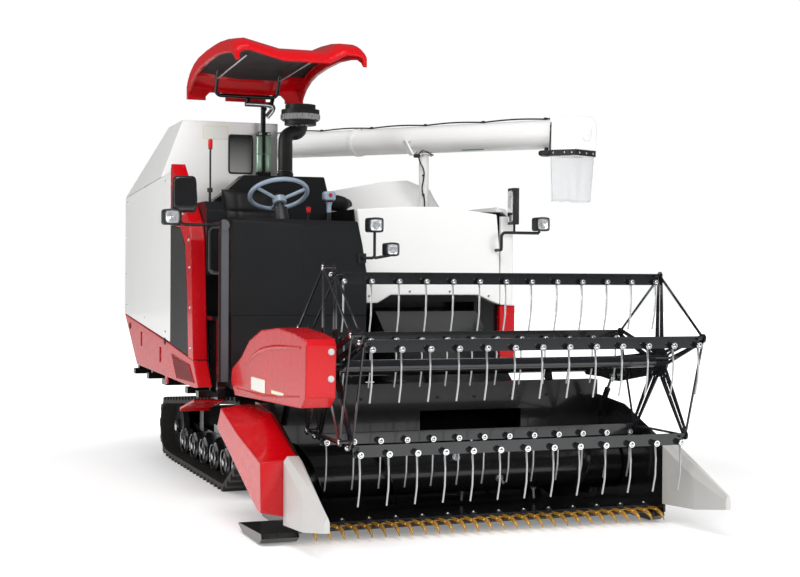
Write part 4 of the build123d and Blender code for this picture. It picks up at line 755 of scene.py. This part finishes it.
# %% Roller rings and hub caps
roller_count, roller_first_y, roller_pitch, roller_z = 6, 0.150, 0.330, 0.145
hub_places = ((-0.2, 0.418), (2.04, 0.235))
roller_cap = [(0.030, 0), (0.030, 0.006), (0.022, 0.010), (0.006, 0.011)]
hub_cap = [(0.045, 0), (0.045, 0.010), (0.032, 0.016), (0.006, 0.018)]
wheels_low, wheels_high = (np.array(corner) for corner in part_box("track_wheels"))
roller_parts = []
for x_face, out in ((wheels_low[0], -x_axis), (wheels_high[0], x_axis)):
    for index in range(roller_count):
        centre = np.array([x_face, roller_first_y + roller_pitch * index, roller_z])
        roller_parts.append(hoop(loop_path(centre, y_axis, z_axis, 0.082, 0.082, count=28), 0.0045, 8))
        roller_parts.append(turned(roller_cap, centre, out, 16))
    for y_hub, z_hub in hub_places:
        roller_parts.append(turned(hub_cap, np.array([x_face, y_hub, z_hub]), out, 20))
put("roller_rings", joined(*roller_parts), "machine", bright_steel)

# %% [markdown]
# ## Lamps and mirrors
# A work lamp is a black moulded shell with a rubber rim, a stepped bright reflector and a clear lens that
# bulges. The rim is a circle carried round a squared loop, the reflector is turned and lies on a thin
# bright plate, and the lens is a flat superellipsoid. The mirrors are rounded shells with a bright glass
# set into the face.

# %% Lamp faces and mirrors
black_gloss = finish("black_gloss", (0.008, 0.008, 0.009), 0.18, coat=0.5, drift=0.15, grain=0.05)
reflector_steps = np.array([(0.86, 0), (0.84, 0.05), (0.62, 0.02), (0.60, 0.07), (0.40, 0.03), (0.38, 0.09),
                            (0.16, 0.05), (0.14, 0.13), (0.04, 0.15)])


def lamp_face(x, y, z, half):
    """The rim, reflector and lens of a lamp that looks forward, whose face is 2 half wide."""
    rim = hoop(loop_path((x, y - 0.002, z), x_axis, z_axis, half * 0.85, half * 0.80, 0.5), 0.0072, 8)
    bright_plate = rounded_block((x, y - 0.0012, z), (half * 0.88, 0.0012, half * 0.79), 0.45, 8, 28)
    bowl = turned(reflector_steps * half * 0.9, (x, y - 0.001, z), -y_axis, 24)
    lens = rounded_block((x, y - 0.0085, z), (half * 0.86, 0.0055, half * 0.77), 0.5, 10, 28)
    return rim, joined(bright_plate, bowl), lens


# each row: x, y and z of the middle of the shell's face, and half its width
lamps = ((-1.32, -0.495, 1.745, 0.052), (1.18, -0.355, 1.748, 0.050), (-0.07, -0.585, 1.715, 0.050),
         (0.025, -0.625, 1.565, 0.045))
lamp_rims, lamp_reflectors, lamp_lenses = zip(*[lamp_face(*lamp) for lamp in lamps])
put("lamp_rims", joined(*lamp_rims), "machine", black_plastic)
put("lamp_reflectors", joined(*lamp_reflectors), "machine", lamp_mirror)
put("lamp_lenses", joined(*lamp_lenses), "machine", lens_glass)
mirror_shells = joined(rounded_block((-1.229, -0.424, 1.885), (0.070, 0.022, 0.106), 0.35, 20, 40),
                       rounded_block((0.9995, -0.275, 1.865), (0.018, 0.047, 0.116), 0.35, 20, 40))
put("mirror_shells", mirror_shells, "machine", black_gloss)
mirror_glass = joined(rounded_block((-1.229, -0.3945, 1.885), (0.060, 0.0015, 0.096), 0.3),
                      rounded_block((0.9795, -0.275, 1.865), (0.0015, 0.040, 0.104), 0.3))
put("mirror_glass", mirror_glass, "machine", chrome_bright)

# %% [markdown]
# ## The tank's window and blank plates
# The pane sits in a rubber gasket. The plates that carry notices on the real machine are kept as bare
# plates, pale with a thin yellow edge, in their places on the tank and the red covers.

# %% Window gasket and blank plates
gasket_line = loop_path((-0.590, 0.7755, 2.236), x_axis, z_axis, 0.082, 0.131, 0.14, 64)
put("window_gasket", hoop(gasket_line, 0.0055), "machine", black_plastic)
plate_white = finish("plate_white", (0.78, 0.78, 0.74), 0.4, drift=0.02, grain=0.05)
plate_yellow = finish("plate_yellow", (0.75, 0.55, 0.04), 0.4, drift=0.04, grain=0.05)


def plate(centre, u, v, half_u, half_v, out):
    """A bare plate as a thin superellipsoid, and its edge as a fine hoop round it."""
    basis = np.stack([u, v, out], 1)
    edge_line = loop_path(np.asarray(centre) + np.asarray(out) * 0.0006, u, v, half_u, half_v, 0.12, 40)
    return rounded_block(centre, (half_u, half_v, 0.0012), 0.12, 8, 32, basis), hoop(edge_line, 0.0012, 6)


tank_plate, tank_edge = plate((-0.766, 0.7788, 2.380), x_axis, z_axis, 0.088, 0.045, -y_axis)
cover_plate, cover_edge = plate((-1.0012, -1.300, 0.800), y_axis, z_axis, 0.150, 0.036, -x_axis)
strip_plate, strip_edge = plate((-1.0012, -1.700, 0.785), y_axis, z_axis, 0.120, 0.009, -x_axis)
put("blank_plate_tank", tank_plate, "machine", plate_white)
put("blank_plate_edge_tank", tank_edge, "machine", plate_yellow)
put("blank_plate_reel", joined(cover_plate, strip_plate), "reel_arms", plate_white)
put("blank_plate_edge_reel", joined(cover_edge, strip_edge), "reel_arms", plate_yellow)

# %% [markdown]
# ## Caps, bolts and recesses on the covers
# White caps close the holes through which the red covers are screwed on, and the frame and side panels
# carry small round heads. One dome serves for all of them; only size, place and direction change. The two
# grip recesses of the lower cover get black floors, painted shade that makes them read as openings.

# %% Caps, bolts and grip recesses
reel_cap_places = ((-0.870, -2.214, 1.027), (-0.869, -2.208, 0.893))
reel_caps = joined(*[dome(0.017, 0.010, place, -y_axis, 16) for place in reel_cap_places])
put("reel_cover_caps", reel_caps, "reel_arms", white_plastic)
put("header_cover_caps", dome(0.016, 0.010, (-0.972, -1.7995, 0.307), -y_axis, 16), "header", white_plastic)
panel_head_x = -1.1425
panel_head_places = ((-0.190, 0.95), (-0.175, 1.20), (-0.155, 1.45), (-0.125, 1.62), (0.05, 1.79),
                     (0.28, 1.97), (0.60, 1.02), (2.10, 1.16), (0.60, 2.02), (2.10, 1.94))
panel_heads = [dome(0.010, 0.007, (panel_head_x, y, z), -x_axis, 10) for y, z in panel_head_places]
put("side_panel_heads", joined(*panel_heads), "machine", bright_steel)
# black sheets in the grip recesses: painted shade, so that they read as openings
grip_shade_floors = [rounded_block((-1.1265, y, z), (0.0010, 0.0335, 0.0485), 0.2, 8, 24)
               for y, z in ((1.5, 0.935), (0.78, 0.86))]
put("grip_recess_painted_shade", joined(*grip_shade_floors), "machine", seam_and_shade_black)

# %% [markdown]
# ## The grille of the lower cover
# In front, the lower cover is punched with small holes. The holes are a pattern in the finish, dark with
# painted shade, on a sheet over the four corners of the grille, and a fine red bead goes round its edge.

# %% Cover grille
def patch(corners, rows=10, columns=16):
    """A four-cornered sheet: corners blended by (1-u)(1-v), u(1-v), uv and (1-u)v."""
    u = np.linspace(0, 1, columns)[None, :, None]
    v = np.linspace(0, 1, rows)[:, None, None]
    low_start, low_end, high_end, high_start = np.asarray(corners, float)
    points = (1 - v) * ((1 - u) * low_start + u * low_end) + v * ((1 - u) * high_start + u * high_end)
    return points.reshape(-1, 3), sheet_faces(rows, columns)


def thicken(piece, thick):
    """Give a sheet its thickness with a live Solidify."""
    wall = piece.modifiers.new("thickness", "SOLIDIFY")
    wall.thickness = thick
    wall.offset = 0
    return piece


grille_corners = [(-1.1435, 0.381, 0.881), (-1.1435, -0.165, 0.842), (-1.1435, -0.300, 0.743),
                  (-1.1435, 0.216, 0.736)]
thicken(put("cover_grille", patch(grille_corners), "machine", red_grille), 0.002)
next_corners = grille_corners[1:] + grille_corners[:1]
grille_edge = np.concatenate([np.linspace(corner, following, 12, endpoint=False)
                              for corner, following in zip(grille_corners, next_corners)])
put("cover_grille_edge", hoop(grille_edge, 0.0035, 6), "machine", red_paint)

# %% [markdown]
# ## Pressed ridges on the reel's drive cover
# The red cover is pressed from one sheet, and two ridges run along its side and break the light, a high one
# and a finer one below. Each is a slender tube sunk halfway into the cover's face. Its radius follows a
# power of a sine, so it tapers out at both ends.

# %% Cover ridges
def ridge(line, radius):
    """A tube along a softened line, whose radius swells as the sine of its share of the line to the power
    0.4."""
    path = softened(line, 3)
    return tube(path, radius * np.sin(np.linspace(0.12, np.pi - 0.12, len(path))) ** 0.4, 12)


high_ridge = ridge([(-1.0, -1.02, 0.895), (-1.0, -1.28, 0.985), (-1.0, -1.65, 1.030),
                    (-1.0, -2.12, 1.045)], 0.013)
low_ridge = ridge([(-1.0, -0.80, 0.745), (-1.0, -1.40, 0.745), (-1.0, -2.10, 0.800)], 0.008)
put("cover_ridges", joined(high_ridge, low_ridge), "reel_arms", red_paint)

# %% [markdown]
# ## The unloading pipe's lead
# A lamp hangs under the spout, and its lead is clipped along the top of the pipe, lying a little slack
# between the clips, and then drops down the spout's side. Three directions are worked out from the pipe's
# two ends, along, beside and above it, and everything on the pipe is placed by them.

# %% Pipe lead and clips
pipe_start = np.array([-0.175, 2.262, 2.415])
pipe_end = np.array([1.175, -0.605, 2.322])
pipe_run = pipe_end - pipe_start
pipe_length = float(np.linalg.norm(pipe_run))
along = pipe_run / pipe_length
beside = np.array([pipe_run[1], -pipe_run[0], 0]) / math.hypot(pipe_run[0], pipe_run[1])
above = np.cross(beside, along)
above *= np.sign(above[2])
lead_height, slack_height = 0.1005, 0.009
clip_spots = np.linspace(0.35, pipe_length - 0.12, 6)
lead_t = np.linspace(clip_spots[0] - 0.05, clip_spots[-1] + 0.05, 90)
clip_gap = clip_spots[1] - clip_spots[0]
slack = slack_height * np.abs(np.sin(np.pi * (lead_t - clip_spots[0]) / clip_gap))
lead = pipe_start + lead_t[:, None] * along + (lead_height + slack)[:, None] * above
drop_end = pipe_end + along * 0.010 + beside * 0.1075
drop = softened([lead[-1], pipe_end + along * 0.004 + above * 0.112, drop_end + above * 0.09,
                 drop_end - above * 0.04, drop_end - above * 0.125], 2)
lead_line = np.concatenate([lead, drop[1:]])
put("pipe_lead", tube(lead_line, 0.0052, 8), "unload_pipe", black_plastic)
lead_clips = [rounded_block(pipe_start + t * along + 0.103 * above, (0.012, 0.010, 0.008), 0.4, 8, 16)
              for t in clip_spots]
put("pipe_lead_clips", joined(*lead_clips), "unload_pipe", black_plastic)

# %% [markdown]
# ## The spout's strap, cap and lamp
# A black strap with bolts clamps the clear curtain to the spout's rim, and a round cap closes the pipe's
# end. The lamp is a flat rounded housing on a short foot, with its lens below. A green mark is stuck on the
# pipe's side, and a ring of bolts holds the elbow on its upright tube.

# %% Spout strap, end cap, lamp and mark
strap_middle = pipe_end + along * 0.1075 - above * 0.128
put("spout_strap", band(strap_middle, along, beside, above, 0.1078, 0.1043, 0.038, 0.0035),
    "unload_pipe", black_plastic, smooth=False)
strap_bolts = [dome(0.0075, 0.006, strap_middle + along * 0.1113 + beside * shift, along, 10)
               for shift in (-0.07, 0, 0.07)]
strap_bolts += [dome(0.0075, 0.006, strap_middle + beside * 0.1078 + along * shift, beside, 10)
                for shift in (-0.07, 0.02, 0.08)]
put("spout_strap_bolts", joined(*strap_bolts), "unload_pipe", bright_steel)
end_cap_profile = [(0.052, 0), (0.052, 0.004), (0.046, 0.007), (0.020, 0.007), (0.018, 0.010),
                   (0.004, 0.011)]
end_cap = turned(end_cap_profile, pipe_end + along * 0.215 - above * 0.002, along, 32)
put("spout_end_cap", end_cap, "unload_pipe", white_paint)
pipe_basis = np.stack([along, beside, above], 1)
lamp_middle = pipe_end - along * 0.045 + beside * 0.075 - above * 0.128
housing = rounded_block(lamp_middle, (0.048, 0.040, 0.020), 0.6, 14, 28, pipe_basis)
lamp_foot = rounded_block(lamp_middle + above * 0.024, (0.012, 0.012, 0.016), 0.5, 8, 16, pipe_basis)
put("spout_lamp", joined(housing, lamp_foot), "unload_pipe", black_plastic)
lens_middle = lamp_middle - above * 0.014 + beside * 0.008
lens = rounded_block(lens_middle, (0.036, 0.030, 0.009), 0.8, 12, 24, pipe_basis)
put("spout_lamp_lens", lens, "unload_pipe", lens_glass)

green_mark = finish("green_mark", (0.0, 0.36, 0.20), 0.4, drift=0.05, grain=0.05)
mark_radius, mark_rows, mark_columns = 0.0956, 5, 16
mark_t = np.linspace(2.36, 2.56, mark_columns)[None, :, None]
mark_angle = np.radians(np.linspace(60, 68, mark_rows))[:, None, None]
mark_out = np.cos(mark_angle) * beside - np.sin(mark_angle) * above
mark_points = pipe_start + mark_t * along + mark_radius * mark_out
mark = put("pipe_mark", (mark_points.reshape(-1, 3), sheet_faces(mark_rows, mark_columns)), "unload_pipe",
           green_mark)
thicken(mark, 0.0008)
flange_radius, flange_top, flange_bolt_count = 0.120, 2.298, 10
flange_places = [(pipe_start[0] + flange_radius * math.cos(angle),
                  pipe_start[1] + flange_radius * math.sin(angle), flange_top)
                 for angle in full_turn(flange_bolt_count)]
flange_bolts = [dome(0.010, 0.009, place, z_axis, 8) for place in flange_places]
put("elbow_bolts", joined(*flange_bolts), "unload_elbow", bright_steel)

# %% [markdown]
# ## The cradle's switch and cable
# The pipe rests in a cradle, where a small switch feels that it is home. Its cable runs down the cradle's
# post under two clips. The cable is placed from the cradle's own box, so that it stays on the post, and its
# bends come from cutting the corners of a few chosen points.

# %% Cradle cable and bolts
cradle_low, cradle_high = (np.array(corner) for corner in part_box("cradle"))
cradle_x = (cradle_low[0] + cradle_high[0]) / 2 + 0.043
cradle_y = (cradle_low[1] + cradle_high[1]) / 2
cradle_foot = cradle_low[2]
saddle_z = cradle_high[2] - 0.095
switch_z = saddle_z - 0.012
# each row: across and along from the cradle's middle, and down from the switch
cable_bends = ((-0.062, -0.046, 0), (-0.048, -0.050, 0.050), (-0.014, -0.046, 0.100),
               (-0.020, -0.042, 0.170), (-0.034, -0.040, 0.230), (-0.010, -0.042, 0.300))
cable = [(cradle_x + across, cradle_y + back, switch_z - drop_z) for across, back, drop_z in cable_bends]
cable.append((cradle_x - 0.012, cradle_y - 0.046, cradle_foot + 0.050))
# each row: across and along from the cradle's middle, and up from the switch
upper_bends = ((-0.062, -0.046, 0.010), (-0.030, -0.060, 0.045), (-0.002, -0.085, 0.020),
               (0.040, -0.075, 0.006))
upper_cable = [(cradle_x + across, cradle_y + back, switch_z + rise_z)
               for across, back, rise_z in upper_bends]
clip_spots_down = [(cradle_x - 0.020, cradle_y - 0.040, switch_z - drop_z) for drop_z in (0.135, 0.270)]
cradle_clips = [rounded_block(spot, (0.010, 0.006, 0.006), 0.5, 8, 16) for spot in clip_spots_down]
switch = rounded_block((cradle_x - 0.072, cradle_y - 0.046, switch_z), (0.022, 0.016, 0.013), 0.4, 12, 20)
cradle_cable = joined(tube(softened(cable, 3), 0.0050, 8), tube(softened(upper_cable, 3), 0.0045, 8),
                      *cradle_clips, switch)
put("cradle_cable", cradle_cable, "machine", black_plastic)
saddle_bolt_places = ((-0.020, -0.005), (0.040, -0.005), (-0.075, 0.012), (-0.098, 0.050), (-0.120, 0.086))
cradle_bolts = [dome(0.009, 0.008, (cradle_x + across, cradle_y - 0.0302, saddle_z + rise_z), -y_axis, 10)
                for across, rise_z in saddle_bolt_places]
cradle_bolts += [dome(0.010, 0.009, (cradle_x + across, cradle_y - 0.040, cradle_foot + 0.036), z_axis, 10)
                 for across in (-0.055, 0.055)]
put("cradle_bolts", joined(*cradle_bolts), "machine", bright_steel)

# %% [markdown]
# ## The driver's seat
# Cushion and back are foam under black leathercloth: crowned closed forms whose sides pull in between their
# corners, with two sewn channels each and piping round the seam. Each is two sheets over the same grid that
# meet at the seam, the upper one swollen by (1-u^6)(1-v^6) to the power one half and dented along the
# channels. A moulded pan and back shell carry them and stand for the CAD model's plain seat.

# %% Seat
def pillow(centre, half, tilt, channel=0.55, count=44):
    """Two sheets over u, v from -1 to 1: heights go with the root of (1-u^6)(1-v^6), sides pull in by
    1-v^2."""
    side = np.sin(np.linspace(-np.pi / 2, np.pi / 2, count))
    u, v = np.meshgrid(side, side, indexing="ij")
    crown = np.sqrt(np.clip((1 - u ** 6) * (1 - v ** 6), 0, 1))
    x = half[0] * u * (1 - 0.035 * (1 - v ** 2))
    y = half[1] * v * (1 - 0.035 * (1 - u ** 2))
    dents = 0.16 * (np.exp(-((np.abs(u) - channel) / 0.035) ** 2) + np.exp(-((v - 0.25) / 0.035) ** 2))
    top = half[2] * crown * (0.82 + 0.18 * (1 - u ** 2) * (1 - v ** 2) - dents * crown)
    low = -0.7 * half[2] * crown
    upper, under = np.stack([x, y, top], -1), np.stack([x, y, low], -1)
    sheets = np.concatenate([upper.reshape(-1, 3), under.reshape(-1, 3)])
    quads = sheet_faces(count, count)
    cosine, sine = math.cos(tilt), math.sin(tilt)
    turn = np.array([[1, 0, 0], [0, cosine, -sine], [0, sine, cosine]])
    rim = loop_path((0, 0, 0), x_axis, y_axis, half[0] * 0.985, half[1] * 0.985, 0.16, 72)
    shape = (sheets @ turn.T + centre, np.concatenate([quads, quads[:, ::-1] + count * count]))
    return shape, hoop(rim @ turn.T + centre, 0.0045, 8)


seat_x = -0.61
cushion_centre, back_centre = np.array([seat_x, 0.110, 1.535]), np.array([seat_x, 0.335, 1.765])
cushion_shape, cushion_piping = pillow(cushion_centre, (0.215, 0.190, 0.055), math.radians(4))
back_shape, back_piping = pillow(back_centre, (0.210, 0.205, 0.050), math.radians(80))
cushion = put("seat_cushion", cushion_shape, "machine", seat_leather)
seat_back = put("seat_back", back_shape, "machine", seat_leather)
put("seat_piping", joined(cushion_piping, back_piping), "machine", black_plastic)
pan_shape = joined(rounded_block((seat_x, 0.110, 1.468), (0.195, 0.175, 0.026), 0.3, 14, 40),
                   rounded_block((seat_x, 0.385, 1.750), (0.185, 0.028, 0.190), 0.35, 14, 40),
                   rounded_block((seat_x, 0.330, 1.500), (0.060, 0.050, 0.050), 0.3, 10, 28))
seat_pan = put("seat_pan", pan_shape, "machine", black_plastic)
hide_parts("seat")

# %% [markdown]
# ## Levers and wheel hub
# The tall lever by the screen door ends in a red grip. The lever at the driver's left hand has a shaped
# blue-grey head with a red thumb button, and a small red knob stands beside it. All are turned profiles or
# rounded blocks, as moulded grips are, and a stepped black cap closes the steering wheel's hub.

# %% Lever grips and wheel hub
grip_profile = np.array([(0.006, 0), (0.0125, 0.004), (0.0150, 0.030), (0.0145, 0.060), (0.009, 0.068),
                         (0.003, 0.070)])
tall_grip = turned(grip_profile, (-0.965, 0.060, 2.198), z_axis, 16)
small_knob = turned(grip_profile * [1.0, 0.62], (-0.420, -0.300, 1.791), z_axis, 16)
thumb_button = dome(0.012, 0.008, (-0.295, -0.3655, 1.905), -y_axis, 16)
put("lever_grips", joined(tall_grip, small_knob, thumb_button), "machine", red_plastic)
head_block = rounded_block((-0.295, -0.330, 1.900), (0.040, 0.034, 0.030), 0.45, 16, 32)
neck_profile = [(0.014, -0.075), (0.016, -0.03), (0.026, 0.0), (0.030, 0.02)]
head_neck = turned(neck_profile, (-0.295, -0.330, 1.872), z_axis, 20)
put("lever_head", joined(head_block, head_neck), "machine", wheel_blue)
wheel_lean = math.radians(28)
wheel_axis = np.array([0, math.sin(wheel_lean), math.cos(wheel_lean)])
hub_centre = np.array([-0.622, -0.330, 1.905]) - wheel_axis * 0.029
hub_profile = [(0.040, 0), (0.042, 0.006), (0.034, 0.014), (0.012, 0.018), (0.004, 0.018)]
put("wheel_hub_cap", turned(hub_profile, hub_centre, wheel_axis, 28), "steering_wheel", black_plastic)

# %% [markdown]
# ## Air cleaner
# The cyclone on top of the intake pipe has a clear ribbed bowl between a black base and a black cap,
# through which the dust shows. A turned sleeve of clear plastic with fine ribs goes round the solid's
# middle, and a bright clamp holds each end of the pipe.

# %% Air cleaner bowl
cleaner_x, cleaner_y, bowl_foot = -0.198, 0.650, 2.474
rib_count, rib_radius = 36, 0.1355
bowl_profile = np.array([(0.1275, 2.474), (0.133, 2.480), (0.1345, 2.500), (0.1345, 2.512), (0.1275, 2.516)])
bowl = turned(bowl_profile - [0, bowl_foot], (cleaner_x, cleaner_y, bowl_foot), z_axis, 48)
put("cleaner_bowl", bowl, "machine", bowl_clear)
rib_places = [(cleaner_x + rib_radius * math.cos(angle), cleaner_y + rib_radius * math.sin(angle), 2.495)
              for angle in full_turn(rib_count)]
ribs = [rounded_block(place, (0.0022, 0.0022, 0.018), 0.5, 6, 8) for place in rib_places]
put("cleaner_ribs", joined(*ribs), "machine", wire_steel)
clamps = [hoop(loop_path(place, x_axis, y_axis, 0.0515, 0.0515, count=32), 0.004, 8)
          for place in ((-0.305, cleaner_y, 2.118), (cleaner_x, cleaner_y, 2.438))]
put("cleaner_clamps", joined(*clamps), "machine", bright_steel)

# %% [markdown]
# ## The roof's lining
# Under the red roof a black net is stretched. The net follows the roof: its height is the crown line along
# Y plus the rib line across X, which fades towards the rear, less the roof's thickness and a small gap.
# Both lines are read off by linear steps between a few points.

# %% Roof lining
# each row of the crown: y and height; each row of the ribs: x from the roof's right edge and rise
crown_line = np.array([(-0.600, 2.775), (-0.560, 2.806), (-0.480, 2.836), (-0.300, 2.860), (-0.080, 2.875),
                       (0.180, 2.870), (0.430, 2.853), (0.570, 2.828), (0.690, 2.786), (0.760, 2.742),
                       (0.800, 2.700)])
rib_line = np.array([(0, -0.032), (0.030, -0.010), (0.080, 0), (0.300, -0.055), (0.590, -0.055), (0.690, 0),
                     (0.770, -0.002), (0.800, -0.012), (0.825, -0.038)])
roof_edge_x, net_drop = -0.965, 0.0355
net_rows, net_columns = 46, 36
net_y, net_x = np.meshgrid(np.linspace(-0.572, 0.640, net_rows), np.linspace(-0.925, -0.178, net_columns),
                           indexing="ij")
rib_fade = 1 - 0.5 * (net_y + 0.6) / 1.4
net_ribs = rib_fade * np.interp(net_x, rib_line[:, 0] + roof_edge_x, rib_line[:, 1])
net_z = np.interp(net_y, crown_line[:, 0], crown_line[:, 1]) + net_ribs - net_drop
net_points = np.stack([net_x, net_y, net_z], -1).reshape(-1, 3)
net = put("roof_net", (net_points, sheet_faces(net_rows, net_columns)), "machine", roof_net)
thicken(net, 0.0016)

# %% [markdown]
# ## The roof's stays and post
# Two bright stays run from the tube frame to the roof's middle, each with a round nut under its rear end.
# The post that carries the roof slides in two plated sleeves, each with a clamp ring and a bolt, and ends
# in a short bent tube. Stays and tubes are circles carried along a line, and the sleeves are turned.

# %% Roof stays and post
stay_foot_y, stay_head_y = 0.595, -0.05
stay_rows = ((-0.80, -0.756, 2.800), (-0.37, -0.262, 2.822))
stays = [tube(np.linspace((foot_x, stay_foot_y, 2.725), (head_x, stay_head_y, head_z), 8), 0.007, 10)
         for foot_x, head_x, head_z in stay_rows]
stay_nuts = [dome(0.013, 0.010, (foot_x, stay_foot_y, 2.729), -z_axis, 12) for foot_x, _, _ in stay_rows]
put("roof_stays", joined(*stays, *stay_nuts), "machine", bright_steel)
sleeve_y = 0.690
sleeve_profile = [(0.019, 0), (0.021, 0.004), (0.021, 0.236), (0.019, 0.240)]
sleeve_parts = []
for sleeve_x in (-0.480, -0.420):
    sleeve_parts.append(turned(sleeve_profile, (sleeve_x, sleeve_y, 2.115), z_axis, 20))
    clamp_line = loop_path((sleeve_x, sleeve_y, 2.235), x_axis, y_axis, 0.022, 0.022, count=24)
    sleeve_parts.append(hoop(clamp_line, 0.005, 8))
    sleeve_parts.append(dome(0.012, 0.010, (sleeve_x, 0.6575, 2.372), -y_axis, 10))
put("post_clamps", joined(*sleeve_parts), "machine", zinc_green)
bent_line = softened([(-0.585, 0.670, 2.575), (-0.40, 0.670, 2.575), (-0.385, 0.672, 2.545),
                      (-0.43, 0.680, 2.490)], 3)
put("post_bent_tube", tube(bent_line, 0.0195, 14), "machine", bright_steel)

# %% [markdown]
# ## The spout's curtain
# The CAD holds the curtain as a plain tapered sleeve. Here it becomes what it is, a thin clear sheet
# wrapped round the spout and hanging from the strap: it narrows downwards and falls into soft folds that
# deepen towards its free hem. It is shaped by a formula and not simulated, because a stiff vinyl sleeve
# hardly moves under its own weight.

# %% Curtain
curtain_rows, curtain_columns, curtain_long = 26, 120, 0.289
corner_power = 0.22
curtain_top = pipe_end + along * 0.1075 - above * 0.146
share_down = np.linspace(0, 1, curtain_rows)[:, None]
turn_round = full_turn(curtain_columns)[None, :]
corner_cosine = signed_power(np.cos(turn_round), corner_power)
corner_sine = signed_power(np.sin(turn_round), corner_power)
waves = (1 + np.sin(9 * turn_round + 0.8 + 1.1 * np.sin(2 * turn_round))) / 2
fold = 1 - (0.012 + 0.030 * share_down ** 1.4) * waves
half_along = (0.1075 - 0.011 * share_down) * fold * corner_cosine
half_beside = (0.1050 - 0.011 * share_down) * fold * corner_sine
hem = 0.288 + 0.004 * np.sin(3 * turn_round)
curtain_points = (curtain_top + half_along[..., None] * along + half_beside[..., None] * beside
                  - (share_down * hem)[..., None] * above)
curtain_shape = (curtain_points.reshape(-1, 3), grid_faces(curtain_rows, curtain_columns))
curtain = put("spout_curtain_sheet", curtain_shape, "unload_pipe", curtain_clear)
thicken(curtain, 0.0012)
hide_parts("spout_curtain")

# %% [markdown]
# ## Fasteners found by a ray
# The other sides carry quarter-turn latches, screws and reflectors. Each is given by where one would press
# it on, and a ray cast at the panel finds the surface and its direction, so that it sits flat on a sloping
# panel.

# %% Landing on a panel
def land(node, start, way):
    """The point where a ray from start meets a node, and the outward direction there."""
    found, place, normal, _ = nodes[node].ray_cast(Vector(start), Vector(way))
    if not found:
        raise ValueError(f"nothing of {node} lies along the ray from {start}")
    return np.array(place), np.array(normal)


def from_left(node, y, z):
    """Where a node's left side lies at y and z."""
    return land(node, (3, y, z), (-1, 0, 0))


def from_right(node, y, z):
    """Where a node's right side lies at y and z."""
    return land(node, (-3, y, z), (1, 0, 0))


def from_rear(node, x, z):
    """Where a node's rear lies at x and z."""
    return land(node, (x, 4, z), (0, -1, 0))


def from_front(node, x, z):
    """Where a node's front lies at x and z."""
    return land(node, (x, -3, z), (0, 1, 0))


def heads(spots, radius, height, sides=10):
    """A dome on each spot, all as one shape."""
    return joined(*[dome(radius, height, place, normal, sides) for place, normal in spots])


print("the left cover lies at x =", round(float(from_left("left_cover", 0.98, 1.5)[0][0]), 4))

# %% Latches
latch_profile = [(0.024, 0), (0.024, 0.003), (0.021, 0.005), (0.017, 0.005), (0.015, 0.002), (0.006, 0.003),
                 (0.004, 0.0032)]
latch_spots = [from_left("left_cover", y, 1.275) for y in (0.10, 0.98, 1.90)]
latch_spots += [from_left("left_lower_cover", y, 0.865) for y in (0.30, 1.70)]
latch_spots += [from_right("lower_cover", y, z) for y, z in ((0.62, 0.955), (1.98, 1.010))]
latch_spots += [from_rear("straw_hood", x, 0.80) for x in (0.24, 0.90)]
latches = joined(*[turned(latch_profile, *spot, 20) for spot in latch_spots])
put("cover_latches", latches, "machine", black_plastic)

# %% [markdown]
# ## Screws, reflectors and a seam
# Small round heads hold the panels and the roof, and two red reflectors look backwards. The left cover is
# two sheets that meet in the middle: a fine dark tube along the points that the rays find shows the joint
# without cutting the solid.

# %% Screws, reflectors and seam
screw_spots = [from_left("left_cover", y, z) for y in (-0.12, 0.93, 1.03, 2.08) for z in (1.38, 1.58, 1.74)]
screw_spots += [from_rear("straw_hood", x, z) for x in (0.17, 0.97) for z in (1.00, 1.25, 1.50)]
screw_spots += [from_rear("tank", x, z) for x in (-1.04, -0.72, -0.40) for z in (1.20, 1.62)]
screw_spots += [from_right("side_cover", y, z)
                for y, z in ((2.15, 1.40), (2.15, 1.68), (1.36, 2.02), (1.36, 1.09))]
screw_spots += [from_front("front_cover", x, z)
                for x, z in ((0.02, 1.27), (0.30, 1.30), (0.58, 1.30), (0.86, 1.27))]
screw_spots += [from_front("console", x, 0.78) for x in (-0.86, -0.60, -0.20)]
put("cover_screws", heads(screw_spots, 0.0085, 0.006), "machine", bright_steel)
roof_spots = [land("canopy", (x, y, 4), (0, 0, -1)) for x in (-0.80, -0.37) for y in (0.30, 0.50)]
put("roof_screws", heads(roof_spots, 0.012, 0.009, 12), "machine", bright_steel)
reflector_profile = [(0.034, 0), (0.034, 0.006), (0.030, 0.009), (0.012, 0.010), (0.004, 0.010)]
reflector_spots = [from_rear("straw_hood", 0.88, 1.62), from_rear("tank", -1.02, 1.45)]
reflectors = joined(*[turned(reflector_profile, *spot, 28) for spot in reflector_spots])
put("rear_reflectors", reflectors, "machine", red_plastic)
back_spots = [from_front("header_body", x, 0.68) for x in np.linspace(-0.78, 1.14, 9)]
put("header_back_screws", heads(back_spots, 0.010, 0.007), "header", black_plastic)
seam_line = np.array([from_left("left_cover", 0.98, z)[0] for z in np.linspace(1.33, 1.80, 7)])
put("left_cover_seam", tube(seam_line, 0.0022, 6), "machine", seam_and_shade_black)

# %% [markdown]
# ## The breather duct
# Beside the driver a corrugated black duct runs from the engine's cover into the drum hood. It is a tube
# whose radius goes up and down as a sine along its length, eleven times.

# %% Breather duct
duct_waves = 11
duct_line = softened([(-0.080, 0.500, 1.900), (-0.020, 0.505, 1.902), (0.045, 0.545, 1.902),
                      (0.130, 0.640, 1.890)], 5)
duct_radius = 0.052 + 0.004 * np.sin(np.linspace(0, duct_waves * 2 * np.pi, len(duct_line)))
put("breather_duct", tube(duct_line, duct_radius, 24), "machine", black_plastic)
